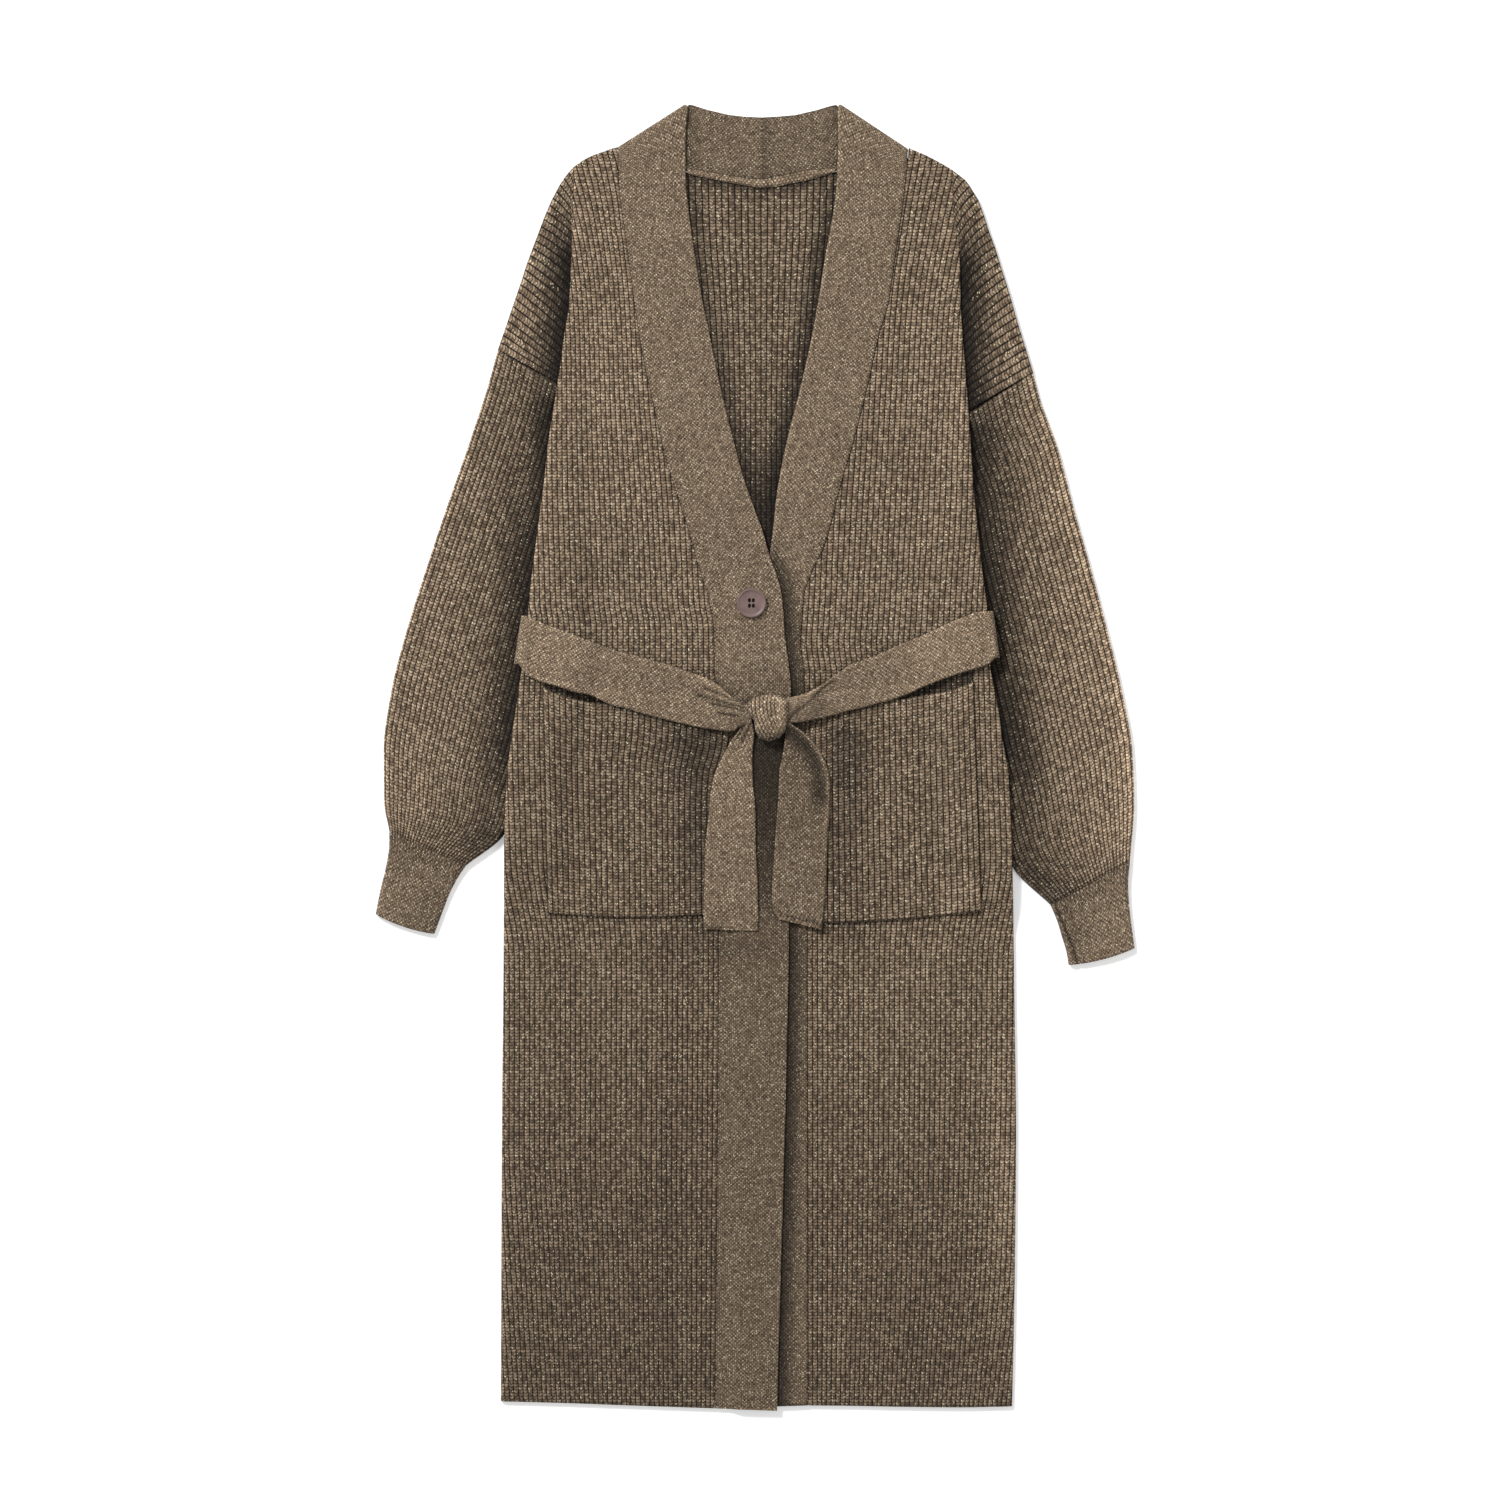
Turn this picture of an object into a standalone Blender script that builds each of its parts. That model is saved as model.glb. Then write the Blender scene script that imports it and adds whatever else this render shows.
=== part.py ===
"""Belted long cardigan, laid flat on its back.

Plan tables are in lay-out units of U mm: x to the right, y down from the
neck to the hem.  Heights are in mm above the surface it lies on.
"""
import math

import bmesh
import bpy
from mathutils import Vector
from mathutils.geometry import delaunay_2d_cdt

for old in list(bpy.data.objects):
    bpy.data.objects.remove(old)

# ---------------------------------------------------------------- named sizes
U = 0.9               # mm for one lay-out unit
CX, CY = 754.5, 757.5  # lay-out point that becomes x = 0, y = 0
WALL = 2.6            # ribbed cloth between its plain inside and a groove
RIB = 0.9             # how far a rib stands above its grooves
PLAIN = 3.0           # plain knit of bands, belt and cuffs
SEAM = 0.3            # between pieces that are sewn or lie on each other
GAP = SEAM / U        # the same in lay-out units
FRONT = WALL + SEAM   # underside of the fronts above the back
LIFT = 8.4            # how far a sleeve lifts the body that lies on it
SLEEVE_TOP = 7.0      # a sleeve's height below its ribs
FOLD = 4.2            # what the folded shoulder adds at the body's edge
BELT_LIFT = PLAIN + SEAM
LAP = PLAIN + SEAM    # how far the right band rises over the left one
RIBS = 34             # ribs between a front's side and its band at the waist
RIBS_FLARE = 12       # more that come in at the side where the skirt widens
DROP_RIBS = 22        # on the dropped shoulder
SLEEVE_RIBS = 25
POCKET_RIBS_RIGHT, POCKET_RIBS_LEFT = 31, 29

# ------------------------------------------------------------------- helpers


def smooth(t):
    t = min(1.0, max(0.0, t))
    return t * t * (3 - 2 * t)


def curve(rows):
    """A smooth f(a) through rows of (a, b) that never overshoots them."""
    a = [r[0] for r in rows]
    b = [r[1] for r in rows]
    n = len(rows)
    s = [(b[i + 1] - b[i]) / (a[i + 1] - a[i]) for i in range(n - 1)]
    m = [s[0]] + [0.0] * (n - 2) + [s[-1]]
    for i in range(1, n - 1):
        if s[i - 1] * s[i] > 0:
            m[i] = 2 * s[i - 1] * s[i] / (s[i - 1] + s[i])

    def f(v):
        if v <= a[0]:
            return b[0]
        if v >= a[-1]:
            return b[-1]
        i = max(k for k in range(n - 1) if a[k] <= v)
        w = a[i + 1] - a[i]
        t = (v - a[i]) / w
        return ((2 * t**3 - 3 * t**2 + 1) * b[i] + (t**3 - 2 * t**2 + t) * w * m[i]
                + (3 * t**2 - 2 * t**3) * b[i + 1] + (t**3 - t**2) * w * m[i + 1])

    return f


def along(points, count):
    """count + 1 points evenly along a polyline."""
    run = [0.0]
    for p, q in zip(points, points[1:]):
        run.append(run[-1] + math.dist(p, q))
    out = []
    for k in range(count + 1):
        want = run[-1] * k / count
        i = min(max(j for j in range(len(run)) if run[j] <= want + 1e-9), len(points) - 2)
        t = (want - run[i]) / (run[i + 1] - run[i])
        out.append(tuple(u + (v - u) * t for u, v in zip(points[i], points[i + 1])))
    return out


def area(poly):
    return sum(p[0] * q[1] - q[0] * p[1] for p, q in zip(poly, poly[1:] + poly[:1])) / 2


def moved_in(poly, amounts):
    """The polygon with each corner moved inwards by its own amount."""
    side = 1 if area(poly) > 0 else -1
    out = []
    for i, p in enumerate(poly):
        a, b = poly[i - 1], poly[(i + 1) % len(poly)]
        n1 = Vector((-(p[1] - a[1]), p[0] - a[0])).normalized()
        n2 = Vector((-(b[1] - p[1]), b[0] - p[0])).normalized()
        n = (n1 + n2)
        n = n / max(0.6, n.length_squared / 2) if n.length > 1e-6 else n1
        out.append((p[0] + side * n.x * amounts[i], p[1] + side * n.y * amounts[i]))
    return out


def inside(p, poly):
    hit = False
    for a, b in zip(poly, poly[1:] + poly[:1]):
        if (a[1] > p[1]) != (b[1] > p[1]):
            if p[0] < a[0] + (p[1] - a[1]) * (b[0] - a[0]) / (b[1] - a[1]):
                hit = not hit
    return hit


def clipped(line, poly):
    """The stretches of a polyline inside a polygon, with ends on its edges."""
    runs, run = [], []
    for p, q in zip(line, line[1:]):
        cuts = []
        for a, b in zip(poly, poly[1:] + poly[:1]):
            den = (q[0] - p[0]) * (b[1] - a[1]) - (q[1] - p[1]) * (b[0] - a[0])
            if abs(den) < 1e-12:
                continue
            t = ((a[0] - p[0]) * (b[1] - a[1]) - (a[1] - p[1]) * (b[0] - a[0])) / den
            s = ((a[0] - p[0]) * (q[1] - p[1]) - (a[1] - p[1]) * (q[0] - p[0])) / den
            if 0 <= t <= 1 and 0 <= s <= 1:
                cuts.append(t)
        stops = [0.0] + sorted(cuts) + [1.0]
        for t0, t1 in zip(stops, stops[1:]):
            if t1 - t0 < 1e-9:
                continue
            mid = tuple(u + (v - u) * (t0 + t1) / 2 for u, v in zip(p, q))
            ends = [tuple(u + (v - u) * t for u, v in zip(p, q)) for t in (t0, t1)]
            if inside(mid, poly):
                if run and math.dist(run[-1], ends[0]) < 1e-6:
                    run.append(ends[1])
                else:
                    run = [ends[0], ends[1]]
                    runs.append(run)
            else:
                run = []
    return [r for r in runs if sum(math.dist(u, v) for u, v in zip(r, r[1:])) > 1.2]


def plan_mesh(poly, lines, height):
    """Triangles that fill poly in plan.

    lines holds (polyline, own height function or None) rows; a point takes
    the height of its line.  Returns points, faces and the boundary as
    (place along poly, point index)."""
    points = [Vector(p) for p in poly]
    edges = [(i, (i + 1) % len(poly)) for i in range(len(poly))]
    own = {}
    for line, f in lines:
        for run in clipped(line, poly) if len(line) > 1 else [line]:
            if len(line) == 1 and not inside(line[0], poly):
                continue
            base = len(points)
            points += [Vector(p) for p in run]
            edges += [(base + i, base + i + 1) for i in range(len(run) - 1)]
            if f:
                own.update({base + i: f for i in range(len(run))})
    verts, _, faces, source, _, _ = delaunay_2d_cdt(points, edges, [], 1, 1e-3)
    out = []
    for v, src in zip(verts, source):
        z = height(v.x, v.y)
        mine = [own[s](v.x, v.y) for s in src if s in own]
        out.append((v.x, v.y, mine[0] if mine else z))
    uses = {}
    for face in faces:
        for a, b in zip(face, face[1:] + face[:1]):
            key = (min(a, b), max(a, b))
            uses[key] = uses.get(key, 0) + 1
    rim = {v for key, n in uses.items() if n == 1 for v in key}
    places = []
    for v in rim:
        best = None
        for i, (a, b) in enumerate(zip(poly, poly[1:] + poly[:1])):
            w = (b[0] - a[0], b[1] - a[1])
            t = ((out[v][0] - a[0]) * w[0] + (out[v][1] - a[1]) * w[1]) / (w[0]**2 + w[1]**2)
            t = min(1.0, max(0.0, t))
            d = math.dist(out[v][:2], (a[0] + w[0] * t, a[1] + w[1] * t))
            if best is None or d < best[0] - 1e-7:
                best = (d, i + t)
        places.append((round(best[1], 5) % len(poly), v))
    return out, [list(f) for f in faces], sorted(places)


def zipped(one, two, n):
    """Triangles between two rims whose corners share their places."""
    faces = []
    for i in range(n):
        ends = []
        for rim in (one, two):
            chain = [r for r in rim if i - 1e-4 <= r[0] <= i + 1 + 1e-4]
            if i == n - 1:
                chain += [(n, rim[0][1])]
            ends.append(chain)
        a, b = ends
        ia = ib = 0
        while ia < len(a) - 1 or ib < len(b) - 1:
            if ib == len(b) - 1 or (ia < len(a) - 1 and a[ia + 1][0] <= b[ib + 1][0]):
                faces.append([a[ia][1], a[ia + 1][1], b[ib][1]])
                ia += 1
            else:
                faces.append([a[ia][1], b[ib + 1][1], b[ib][1]])
                ib += 1
    return faces


def solid(name, points, faces):
    """A closed body facing out, from points in lay-out units and mm."""
    mesh = bpy.data.meshes.new(name)
    mesh.from_pydata([((x - CX) * U / 1000, (CY - y) * U / 1000, z / 1000)
                      for x, y, z in points], [], faces)
    work = bmesh.new()
    work.from_mesh(mesh)
    bmesh.ops.remove_doubles(work, verts=work.verts, dist=1e-6)
    bmesh.ops.recalc_face_normals(work, faces=work.faces)
    if work.calc_volume(signed=True) < 0:
        bmesh.ops.reverse_faces(work, faces=work.faces)
    open_edges = [e for e in work.edges if len(e.link_faces) != 2]
    if open_edges:
        spot = open_edges[0].verts[0].co
        print(f"{name}: {len(open_edges)} edges not shared by two faces, first near "
              f"{spot.x * 1000 / U + CX:.1f}, {CY - spot.y * 1000 / U:.1f}, z {spot.z * 1000:.2f}")
    work.to_mesh(mesh)
    work.free()
    ob = bpy.data.objects.new(name, mesh)
    bpy.context.scene.collection.objects.link(ob)
    return ob


def wall(name, outline, rounds, top, under, ribs=(), guides=(), round_under=None):
    """Cloth of one panel: outline corners, how far each edge is rounded in
    at its top (rounds) and at its underside, height functions, rib lines on
    the top and guide lines for its plain underside."""
    n = len(outline)
    round_under = round_under or [0.0] * n
    upper = moved_in(outline, rounds)
    lower = moved_in(outline, round_under)
    tp, tf, trim = plan_mesh(upper, ribs, top)
    bp, bf, brim = plan_mesh(lower, guides, under)
    points = tp + bp
    faces = tf + [[v + len(tp) for v in f] for f in bf]
    brim = [(place, v + len(tp)) for place, v in brim]
    base = len(points)
    for i, p in enumerate(outline):
        zt, zb = top(*upper[i]), under(*lower[i])
        share = 0.5 if rounds[i] > 0.05 and round_under[i] > 0.05 else 0.45
        if round_under[i] > 0.05 and rounds[i] < 0.05:
            share = 0.85
        if rounds[i] > 0.05 and round_under[i] < 0.05:
            share = 0.15
        points.append((p[0], p[1], zb + (zt - zb) * share))
    mid = [(i, base + i) for i in range(n)]
    faces += zipped(trim, mid, n) + zipped(mid, brim, n)
    return solid(name, points, faces)


def strip(name, rows):
    """A closed strip: each row is (top points, underside points), both of
    the same count, from one edge of the strip to the other."""
    points, faces = [], []
    k = len(rows[0][0])
    for top, under in rows:
        points += list(top) + list(reversed(under))
    ring = 2 * k
    for r in range(len(rows) - 1):
        for i in range(ring):
            a, b = r * ring + i, r * ring + (i + 1) % ring
            c, d = b + ring, a + ring
            faces.append([a, b, c])
            faces.append([a, c, d])
    for r in (0, len(rows) - 1):
        for i in range(k - 1):
            a, b = r * ring + i, r * ring + i + 1
            c, d = r * ring + ring - 2 - i, r * ring + ring - 1 - i
            faces.append([a, b, c])
            faces.append([a, c, d])
    return solid(name, points, faces)


def between(p, q, t):
    return tuple(u + (v - u) * t for u, v in zip(p, q))


# ------------------------------------------------- the body's edges in plan
# y, x of the body's side, and above it of the fold at the dropped shoulder
SIDE_RIGHT = curve([(150, 574), (167, 574), (207, 572.3), (245, 572), (270, 571), (308, 569),
                    (329, 565.5), (350, 562.5), (370, 560), (387, 557), (408, 554), (430, 550.5),
                    (452, 547.5), (480, 544.5), (530, 538), (590, 530.6), (612, 528.7),
                    (672, 521.7), (698, 518), (724, 514), (780, 507), (818, 505.4), (850, 504.5),
                    (980, 503.5), (1135, 502), (1402, 501)])
SIDE_LEFT = curve([(150, 951.5), (170, 952), (220, 955), (245, 959), (310, 960.7), (361, 964.5),
                   (412, 968.3), (480, 972.5), (535, 978), (590, 984.3), (601, 986), (666, 989.5),
                   (688, 993.5), (710, 998), (730, 1000.6), (790, 1009.7), (850, 1011.5),
                   (923, 1013.3), (980, 1014), (1135, 1016), (1225, 1015.3), (1315, 1014),
                   (1405, 1012)])
# y, x of each band's seam to its front and of its free edge
BAND_R_SEAM = curve([(165, 618), (181, 618.6), (195, 620), (243, 626.6), (310, 635.5), (355.5, 643),
                     (404, 653.4), (458, 666), (515, 684), (570, 700), (585, 705), (605, 710),
                     (630, 714), (660, 714.5), (930, 718.6), (1408, 715)])
BAND_R_FREE = curve([(104, 686), (174, 685.3), (213, 689), (281.5, 699), (335, 709.5), (394, 722),
                     (445, 734.5), (480, 744), (530, 762), (554, 769), (571, 775), (591, 781),
                     (610, 783), (638, 785), (660, 788), (690, 791), (930, 789), (1410, 777)])
BAND_L_SEAM = curve([(154, 908.4), (202, 903), (253.5, 895.6), (304.5, 888), (335, 879), (386, 867.6),
                     (447, 852), (480, 842), (547, 824), (567, 814), (596, 804), (621, 802),
                     (642, 800.5), (674, 804), (934, 807), (1405, 808)])
BAND_L_FREE = curve([(104, 839.5), (174, 837.7), (195, 835.7), (264, 824), (325, 814), (394, 798.7),
                     (440, 787), (475, 780), (500, 776), (530, 773), (556, 769), (576, 760),
                     (594, 748), (612, 744), (650, 744), (800, 745), (1405, 745)])
# y, how far a sleeve's hidden edge lies inside the body's side
UNDER_RIGHT = curve([(387, -0.7), (462, -0.7), (480, 2), (520, 12), (570, 20), (625, 27), (695, 29),
                     (760, 24), (805, 9), (824, 2), (836, -0.7)])
UNDER_LEFT = curve([(412, -0.7), (478, -0.7), (500, 3), (540, 14), (590, 24), (640, 28), (710, 29),
                    (780, 25), (835, 10), (858, 2), (871, -0.7)])
# y, how far in from its side the body lies level on the sleeve
REACH_RIGHT = curve([(462, 4), (520, 16), (570, 25), (625, 31), (695, 32), (930, 32)])
REACH_LEFT = curve([(478, 4), (500, 7), (540, 18), (590, 28), (640, 31), (710, 32), (960, 32)])
# y, share of the sleeve's lift at the body's side
RISE_RIGHT = curve([(392, 0), (462, 1), (838, 1), (895, 0)])
RISE_LEFT = curve([(414, 0), (478, 1), (873, 1), (930, 0)])
# y, share of the folded shoulder's height
FOLD_RIGHT = curve([(207, 0), (232, 0.6), (262, 1), (387, 1), (440, 0.6), (480, 0)])
FOLD_LEFT = curve([(214, 0), (242, 0.6), (274, 1), (414, 1), (455, 0.6), (492, 0)])
BELT_Y = (611.0, 665.0)      # the belt's run behind the back
BELT_RAMP = 28.0


def side_of(x, y):
    """(depth inside the body's side, level reach, sleeve rise, fold share)"""
    if x < CX:
        return x - SIDE_RIGHT(y), REACH_RIGHT(y), RISE_RIGHT(y), FOLD_RIGHT(y)
    return SIDE_LEFT(y) - x, REACH_LEFT(y), RISE_LEFT(y), FOLD_LEFT(y)


def sleeve_lift(x, y):
    d, reach, rise, _ = side_of(x, y)
    return LIFT * rise * (1 - smooth((d - reach) / 42))


def slack(x, y):
    """Extra room between layers on the slope beside a sleeve."""
    r = sleeve_lift(x, y) / LIFT
    return 4 * r * (1 - r)


def belt_strip(y):
    lo, hi = BELT_Y
    return min(1.0, max(0.0, 1 - max(lo - y, y - hi) / BELT_RAMP))


def lift(x, y):
    """Height of the back's underside above the surface."""
    return sleeve_lift(x, y) + belt_strip(y) * (BELT_LIFT + 0.7 * slack(x, y))


def front_under(x, y):
    return lift(x, y) + FRONT + 1.0 * slack(x, y)


def front_top(x, y):
    d, _, _, fold = side_of(x, y)
    raised = 0.0 if d < -0.6 else FOLD * fold * (1 - smooth(d / 38))
    return front_under(x, y) + WALL + raised


def front_rib(x, y):
    return front_top(x, y) + RIB


def low_top(x, y):
    return FRONT + WALL


def low_rib(x, y):
    return FRONT + WALL + RIB


# ------------------------------------------------------------ shared points
SIDE_ROWS = [387, 405, 445, 462, 490, 530, 570, 583, 611, 640, 665, 693, 740, 790, 838, 873, 895, 930]
BELT_ROWS = [583.0, 611.0, 665.0, 693.0]


def ramp_columns(y, left):
    side, level = (SIDE_LEFT, REACH_LEFT) if left else (SIDE_RIGHT, REACH_RIGHT)
    reach = level(y)
    sign = -1 if left else 1
    return [side(y) + sign * (reach + d) for d in (0, 10, 21, 32, 43)]


def guide_lines():
    """Points where plain undersides bend, the same for every layer."""
    lines = []
    for left in (False, True):
        for y in SIDE_ROWS:
            if y not in BELT_ROWS:
                lines += [([(x, y)], None) for x in ramp_columns(y, left)]
    for y in BELT_ROWS:
        xs = ramp_columns(y, False) + [640, 700, 760, 820, 880] + ramp_columns(y, True)[::-1]
        line = [(480.0, y)] + [(x, y) for x in xs] + [(1040.0, y)]
        lines.append((line, None))
    return lines


# ------------------------------------------------------------- the silhouette
# the shoulder's outer edge, from the neck outwards to the armhole
SHOULDER_RIGHT = [(617.3, 151.2), (602, 152.6), (588, 158), (574, 167), (566, 176), (560, 185),
                  (552, 200), (545, 216), (539, 232), (533, 248), (527, 264), (522, 280),
                  (516.5, 296), (511, 312), (505, 330), (498, 350)]
SHOULDER_LEFT = [(908.5, 157.2), (924, 155.6), (938, 162), (952, 170), (966, 181), (978, 200),
                 (984, 216), (989, 232), (995, 248), (1000, 264), (1005, 280), (1010, 296),
                 (1015, 314), (1020, 331), (1026, 350), (1033, 373)]
# the armhole's seam, from the outer edge to the body's side
ARMHOLE_RIGHT = along([(498, 350), (556.2, 386)], 4)
ARMHOLE_LEFT = along([(1033, 373), (969, 414.5)], 4)
# rows of the bands, and the slanting rows at the shoulder: seam point, free point
BAND_ROWS = [1100, 850, 740, 693, 665, 640, 611, 597, 583, 565, 550, 530, 500, 465, 420, 370, 310,
             250, 205]
SLANT_RIGHT = [((619, 180), (685.8, 176)), ((618.2, 164), (685.4, 143)),
               ((618.8, 151.4), (687.8, 107.4))]
SLANT_LEFT = [((905.5, 180), (837.6, 175)), ((907, 166), (838, 142)),
              ((906.8, 157.4), (837.6, 107.4))]
# hem corners from the side to the band's seam
HEM_RIGHT = [(501, 1401), (560, 1402.5), (615, 1404.5), (672, 1406.5), (715 - GAP, 1408)]
HEM_LEFT = [(1012, 1406), (960, 1407), (905, 1406.5), (855, 1405.5), (808 + GAP, 1405)]
EDGE_ROWS = [388, 408, 430, 452, 470, 490, 530, 583, 611, 665, 693, 740, 790, 838, 866, 895, 930,
             1050, 1200]


def front_outline(left):
    """Corners of a front and how far each is rounded at the top."""
    shoulder, armhole, hem = ((SHOULDER_LEFT, ARMHOLE_LEFT, HEM_LEFT) if left
                              else (SHOULDER_RIGHT, ARMHOLE_RIGHT, HEM_RIGHT))
    side = SIDE_LEFT if left else SIDE_RIGHT
    seam = BAND_L_SEAM if left else BAND_R_SEAM
    away = GAP if left else -GAP
    rows = [416, 432] + EDGE_ROWS[3:] if left else EDGE_ROWS
    pts, rounds = [], []
    for p in shoulder:
        pts.append(p)
        rounds.append(2.0)
    rounds[0] = 0.0
    for p in armhole[1:]:
        pts.append(p)
        rounds.append(0.0)
    for y in rows:
        pts.append((side(y), y))
        rounds.append(2.2)
    rounds[-len(rows)] = 0.8
    for p in hem:
        pts.append(p)
        rounds.append(0.6)
    rounds[-1] = 0.0
    for p in [(seam(y), y) for y in BAND_ROWS] + [s[0] for s in (SLANT_LEFT if left else SLANT_RIGHT)][:2]:
        pts.append((p[0] + away, p[1]))
        rounds.append(0.0)
    return pts, rounds


# A middle rib's y, x above the waist, and y, distance between ribs
WAIST = 605.0
LEAN_RIGHT = curve([(130, 559), (160, 569.5), (200, 580.7), (240, 589.4), (280, 595.2), (320, 598.6),
                    (360, 600.3), (400, 601.5), (480, 604.9), (560, 608.5), (605, 610.2)])
LEAN_LEFT = curve([(130, 950), (160, 943.5), (200, 934.8), (240, 927), (280, 920), (320, 915.4),
                   (360, 913), (440, 908.8), (520, 904.6), (605, 899.7)])
PITCH_RIGHT = curve([(160, 5.9), (200, 5.4), (240, 4.85), (320, 4.65), (400, 4.8), (440, 5.0),
                     (520, 5.25), (605, 5.3), (740, 5.5), (860, 5.45), (960, 5.1), (1140, 5.08),
                     (1260, 4.9), (1405, 4.65)])
PITCH_LEFT = curve([(160, 6.2), (200, 5.9), (240, 5.6), (280, 5.45), (320, 5.3), (440, 5.35),
                    (520, 5.5), (605, 5.42), (740, 5.45), (860, 5.55), (960, 5.15), (1080, 5.1),
                    (1260, 4.95), (1405, 4.6)])


def rib_x(k, y, left):
    """Where rib line k of a front runs at height y.

    The ribs hang almost straight down.  The sloping side and band cut them
    off above the waist, and below it they keep to the band."""
    lean, pitch, seam = ((LEAN_LEFT, PITCH_LEFT, BAND_L_SEAM) if left
                         else (LEAN_RIGHT, PITCH_RIGHT, BAND_R_SEAM))
    inwards = -1 if left else 1
    if y >= WAIST:
        return seam(y) - inwards * (RIBS - k) * pitch(y)
    middle = RIBS - abs(seam(WAIST) - lean(WAIST)) / pitch(WAIST)
    return lean(y) + inwards * (k - middle) * pitch(y)


def fold_lines(left):
    """Upper and lower edge of the fold at the dropped shoulder."""
    if left:
        rows, side, out = [214, 228, 245, 275, 310, 345, 380, 414.4], SIDE_LEFT, 1
    else:
        rows, side, out = [207, 220, 235, 262, 300, 335, 365, 386.6], SIDE_RIGHT, -1
    upper = [(side(y), y) for y in rows]
    lower = [(side(y) + out * 1.3, y) for y in rows[1:]]
    return upper, lower


def front_lines(left):
    """Rib lines and the fold's lines on the top of a front."""
    near = [1420, 1200, 930, 895, 866, 838, 780, 693, 665, 611, 583, 525, 480, 448, 412, 385,
            330, 262, 207, 130]
    far = [1420, 1200, 930, 693, 665, 611, 583, 530, 412, 300, 207, 130]
    flare = [1420, 1200, 930, 895, 866, 838, 780, 693, 665, 611]
    side, inwards = (SIDE_LEFT, -1) if left else (SIDE_RIGHT, 1)
    past_fold = [(side(y) + inwards * 0.8, y) for y in (130, 150, 190, 207, 235, 262, 300, 335, 365, 388)]
    body = past_fold + [(CX - inwards * 300, 392), (CX - inwards * 300, 1450), (CX, 1450), (CX, 130)]
    lines = []
    for half in range(-2 * RIBS_FLARE, 2 * RIBS):
        rows = flare if half < 1 else near if half < 24 else far
        f = front_rib if half % 2 else front_top
        for run in clipped([(rib_x(half / 2, y, left), y) for y in rows], body):
            lines.append((run, f))
    upper, lower = fold_lines(left)
    top_end = (951.7, 150) if left else (574, 150)
    lines.append(([top_end, (SIDE_LEFT(190) if left else SIDE_RIGHT(190), 190)] + upper, front_top))
    lines.append((lower, low_top))
    shoulder = SHOULDER_LEFT if left else SHOULDER_RIGHT
    rim = along(shoulder[3:], 2 * DROP_RIBS)
    foot = along(lower, 2 * DROP_RIBS)
    for half in range(1, 2 * DROP_RIBS):
        a, b = foot[half], rim[half]
        lines.append(([a, b, between(a, b, 1.15)], low_rib if half % 2 else low_top))
    return lines


def make_front(name, left):
    pts, rounds = front_outline(left)
    wall(name, pts, rounds, front_top, front_under, front_lines(left), guide_lines())


# ------------------------------------------------------------------ the back
# upper x, y and lower x, y edge of the rolled seam round the back neck
NECK_ROLL = [(687.4, 168.8, 687.8, 174.4), (703, 171.4, 703, 177.6), (719, 174, 719, 181),
             (733, 176.4, 733, 183.6), (747, 178.5, 747, 186), (761, 179.4, 761, 188),
             (776, 176.8, 776, 187), (790, 173.8, 790, 184), (805, 171, 805, 181),
             (820, 169.3, 820, 177), (835, 168.2, 834.6, 173)]
# y, distance between the back's ribs, which draw together downwards
BACK_PITCH = curve([(180, 6.6), (235, 6.4), (285, 5.92), (345, 5.46), (400, 5.2), (560, 5.1)])
# the back's neckline, from the right shoulder to the left one
NECK_BACK = [(618.4, 152.6), (632, 156.9), (650, 164), (668, 169), (690, 173), (719, 178.6), (742, 182.8),
             (762, 184.4), (781, 181.8), (805, 176.8), (838, 171.6), (860, 169), (882, 164.5),
             (895, 161.2), (906.9, 158.6)]


def back_under(x, y):
    return lift(x, y)


def back_top(x, y):
    return lift(x, y) + WALL


def back_rib(x, y):
    return lift(x, y) + WALL + RIB


def make_back():
    right, r1 = front_outline(False)
    left, r2 = front_outline(True)
    count = len(SHOULDER_RIGHT) + len(ARMHOLE_RIGHT) - 1 + len(EDGE_ROWS)
    count_left = len(SHOULDER_LEFT) + len(ARMHOLE_LEFT) - 1 + len(EDGE_ROWS) - 1
    hem = [(x, y - 1.5) for x, y in [(501, 1401), (600, 1403), (700, 1406), (760, 1407),
                                     (820, 1406), (920, 1406.5), (1012, 1406)]]
    pts = right[:count] + hem + left[:count_left][::-1]
    rounds = [2.0 if r else 0.0 for r in r1[:count]] + [0.6] * 7
    rounds += [2.0 if r else 0.0 for r in r2[:count_left][::-1]]
    rounds[0] = rounds[-1] = 0.0
    pts += [(x, y + 0.5) for x, y in NECK_BACK[::-1]]
    rounds += [0.0] * len(NECK_BACK)
    lines = guide_lines()
    rows = [190, 230, 280, 330, 380, 430, 475, 510, 535, 548]

    def window(margin):
        a = [(BAND_R_FREE(y) + margin, y) for y in rows]
        b = [(BAND_L_FREE(y) - margin, y) for y in rows]
        roll = [(x, y + 0.6 + margin) for _, _, x, y in NECK_ROLL[1:-1:2]]
        a.insert(0, (BAND_R_FREE(176) + margin, 175.5 + margin))
        b.insert(0, (BAND_L_FREE(176) - margin, 174.5 + margin))
        return a + b[::-1] + roll[::-1]

    outer = window(0.6)
    lines.append((outer + outer[:1], back_top))
    inner = window(2.4)
    for half in range(-26, 27):
        f = back_rib if half % 2 else back_top
        line = [(761.0 + half * BACK_PITCH(y) / 2, y) for y in (165, 260, 380, 560)]
        for run in clipped(line, inner):
            lines.append((run, f))
    wall("back", pts, [0.0] * len(pts), back_top, back_under, lines, guide_lines(), rounds)


# ----------------------------------------------------------------- the bands

def band_level(x, y):
    """Underside of a band's front run before one band crosses the other."""
    return lift(x, y) + FRONT + 1.0 * (1 - smooth((y - 185) / 50))


def lap(x, y):
    edge = min(BAND_L_FREE(y), BAND_L_FREE(y + 14), BAND_L_FREE(y + 26))
    return LAP * smooth((x - (edge - 18)) / 12) * smooth((y - 470) / 55)


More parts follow.
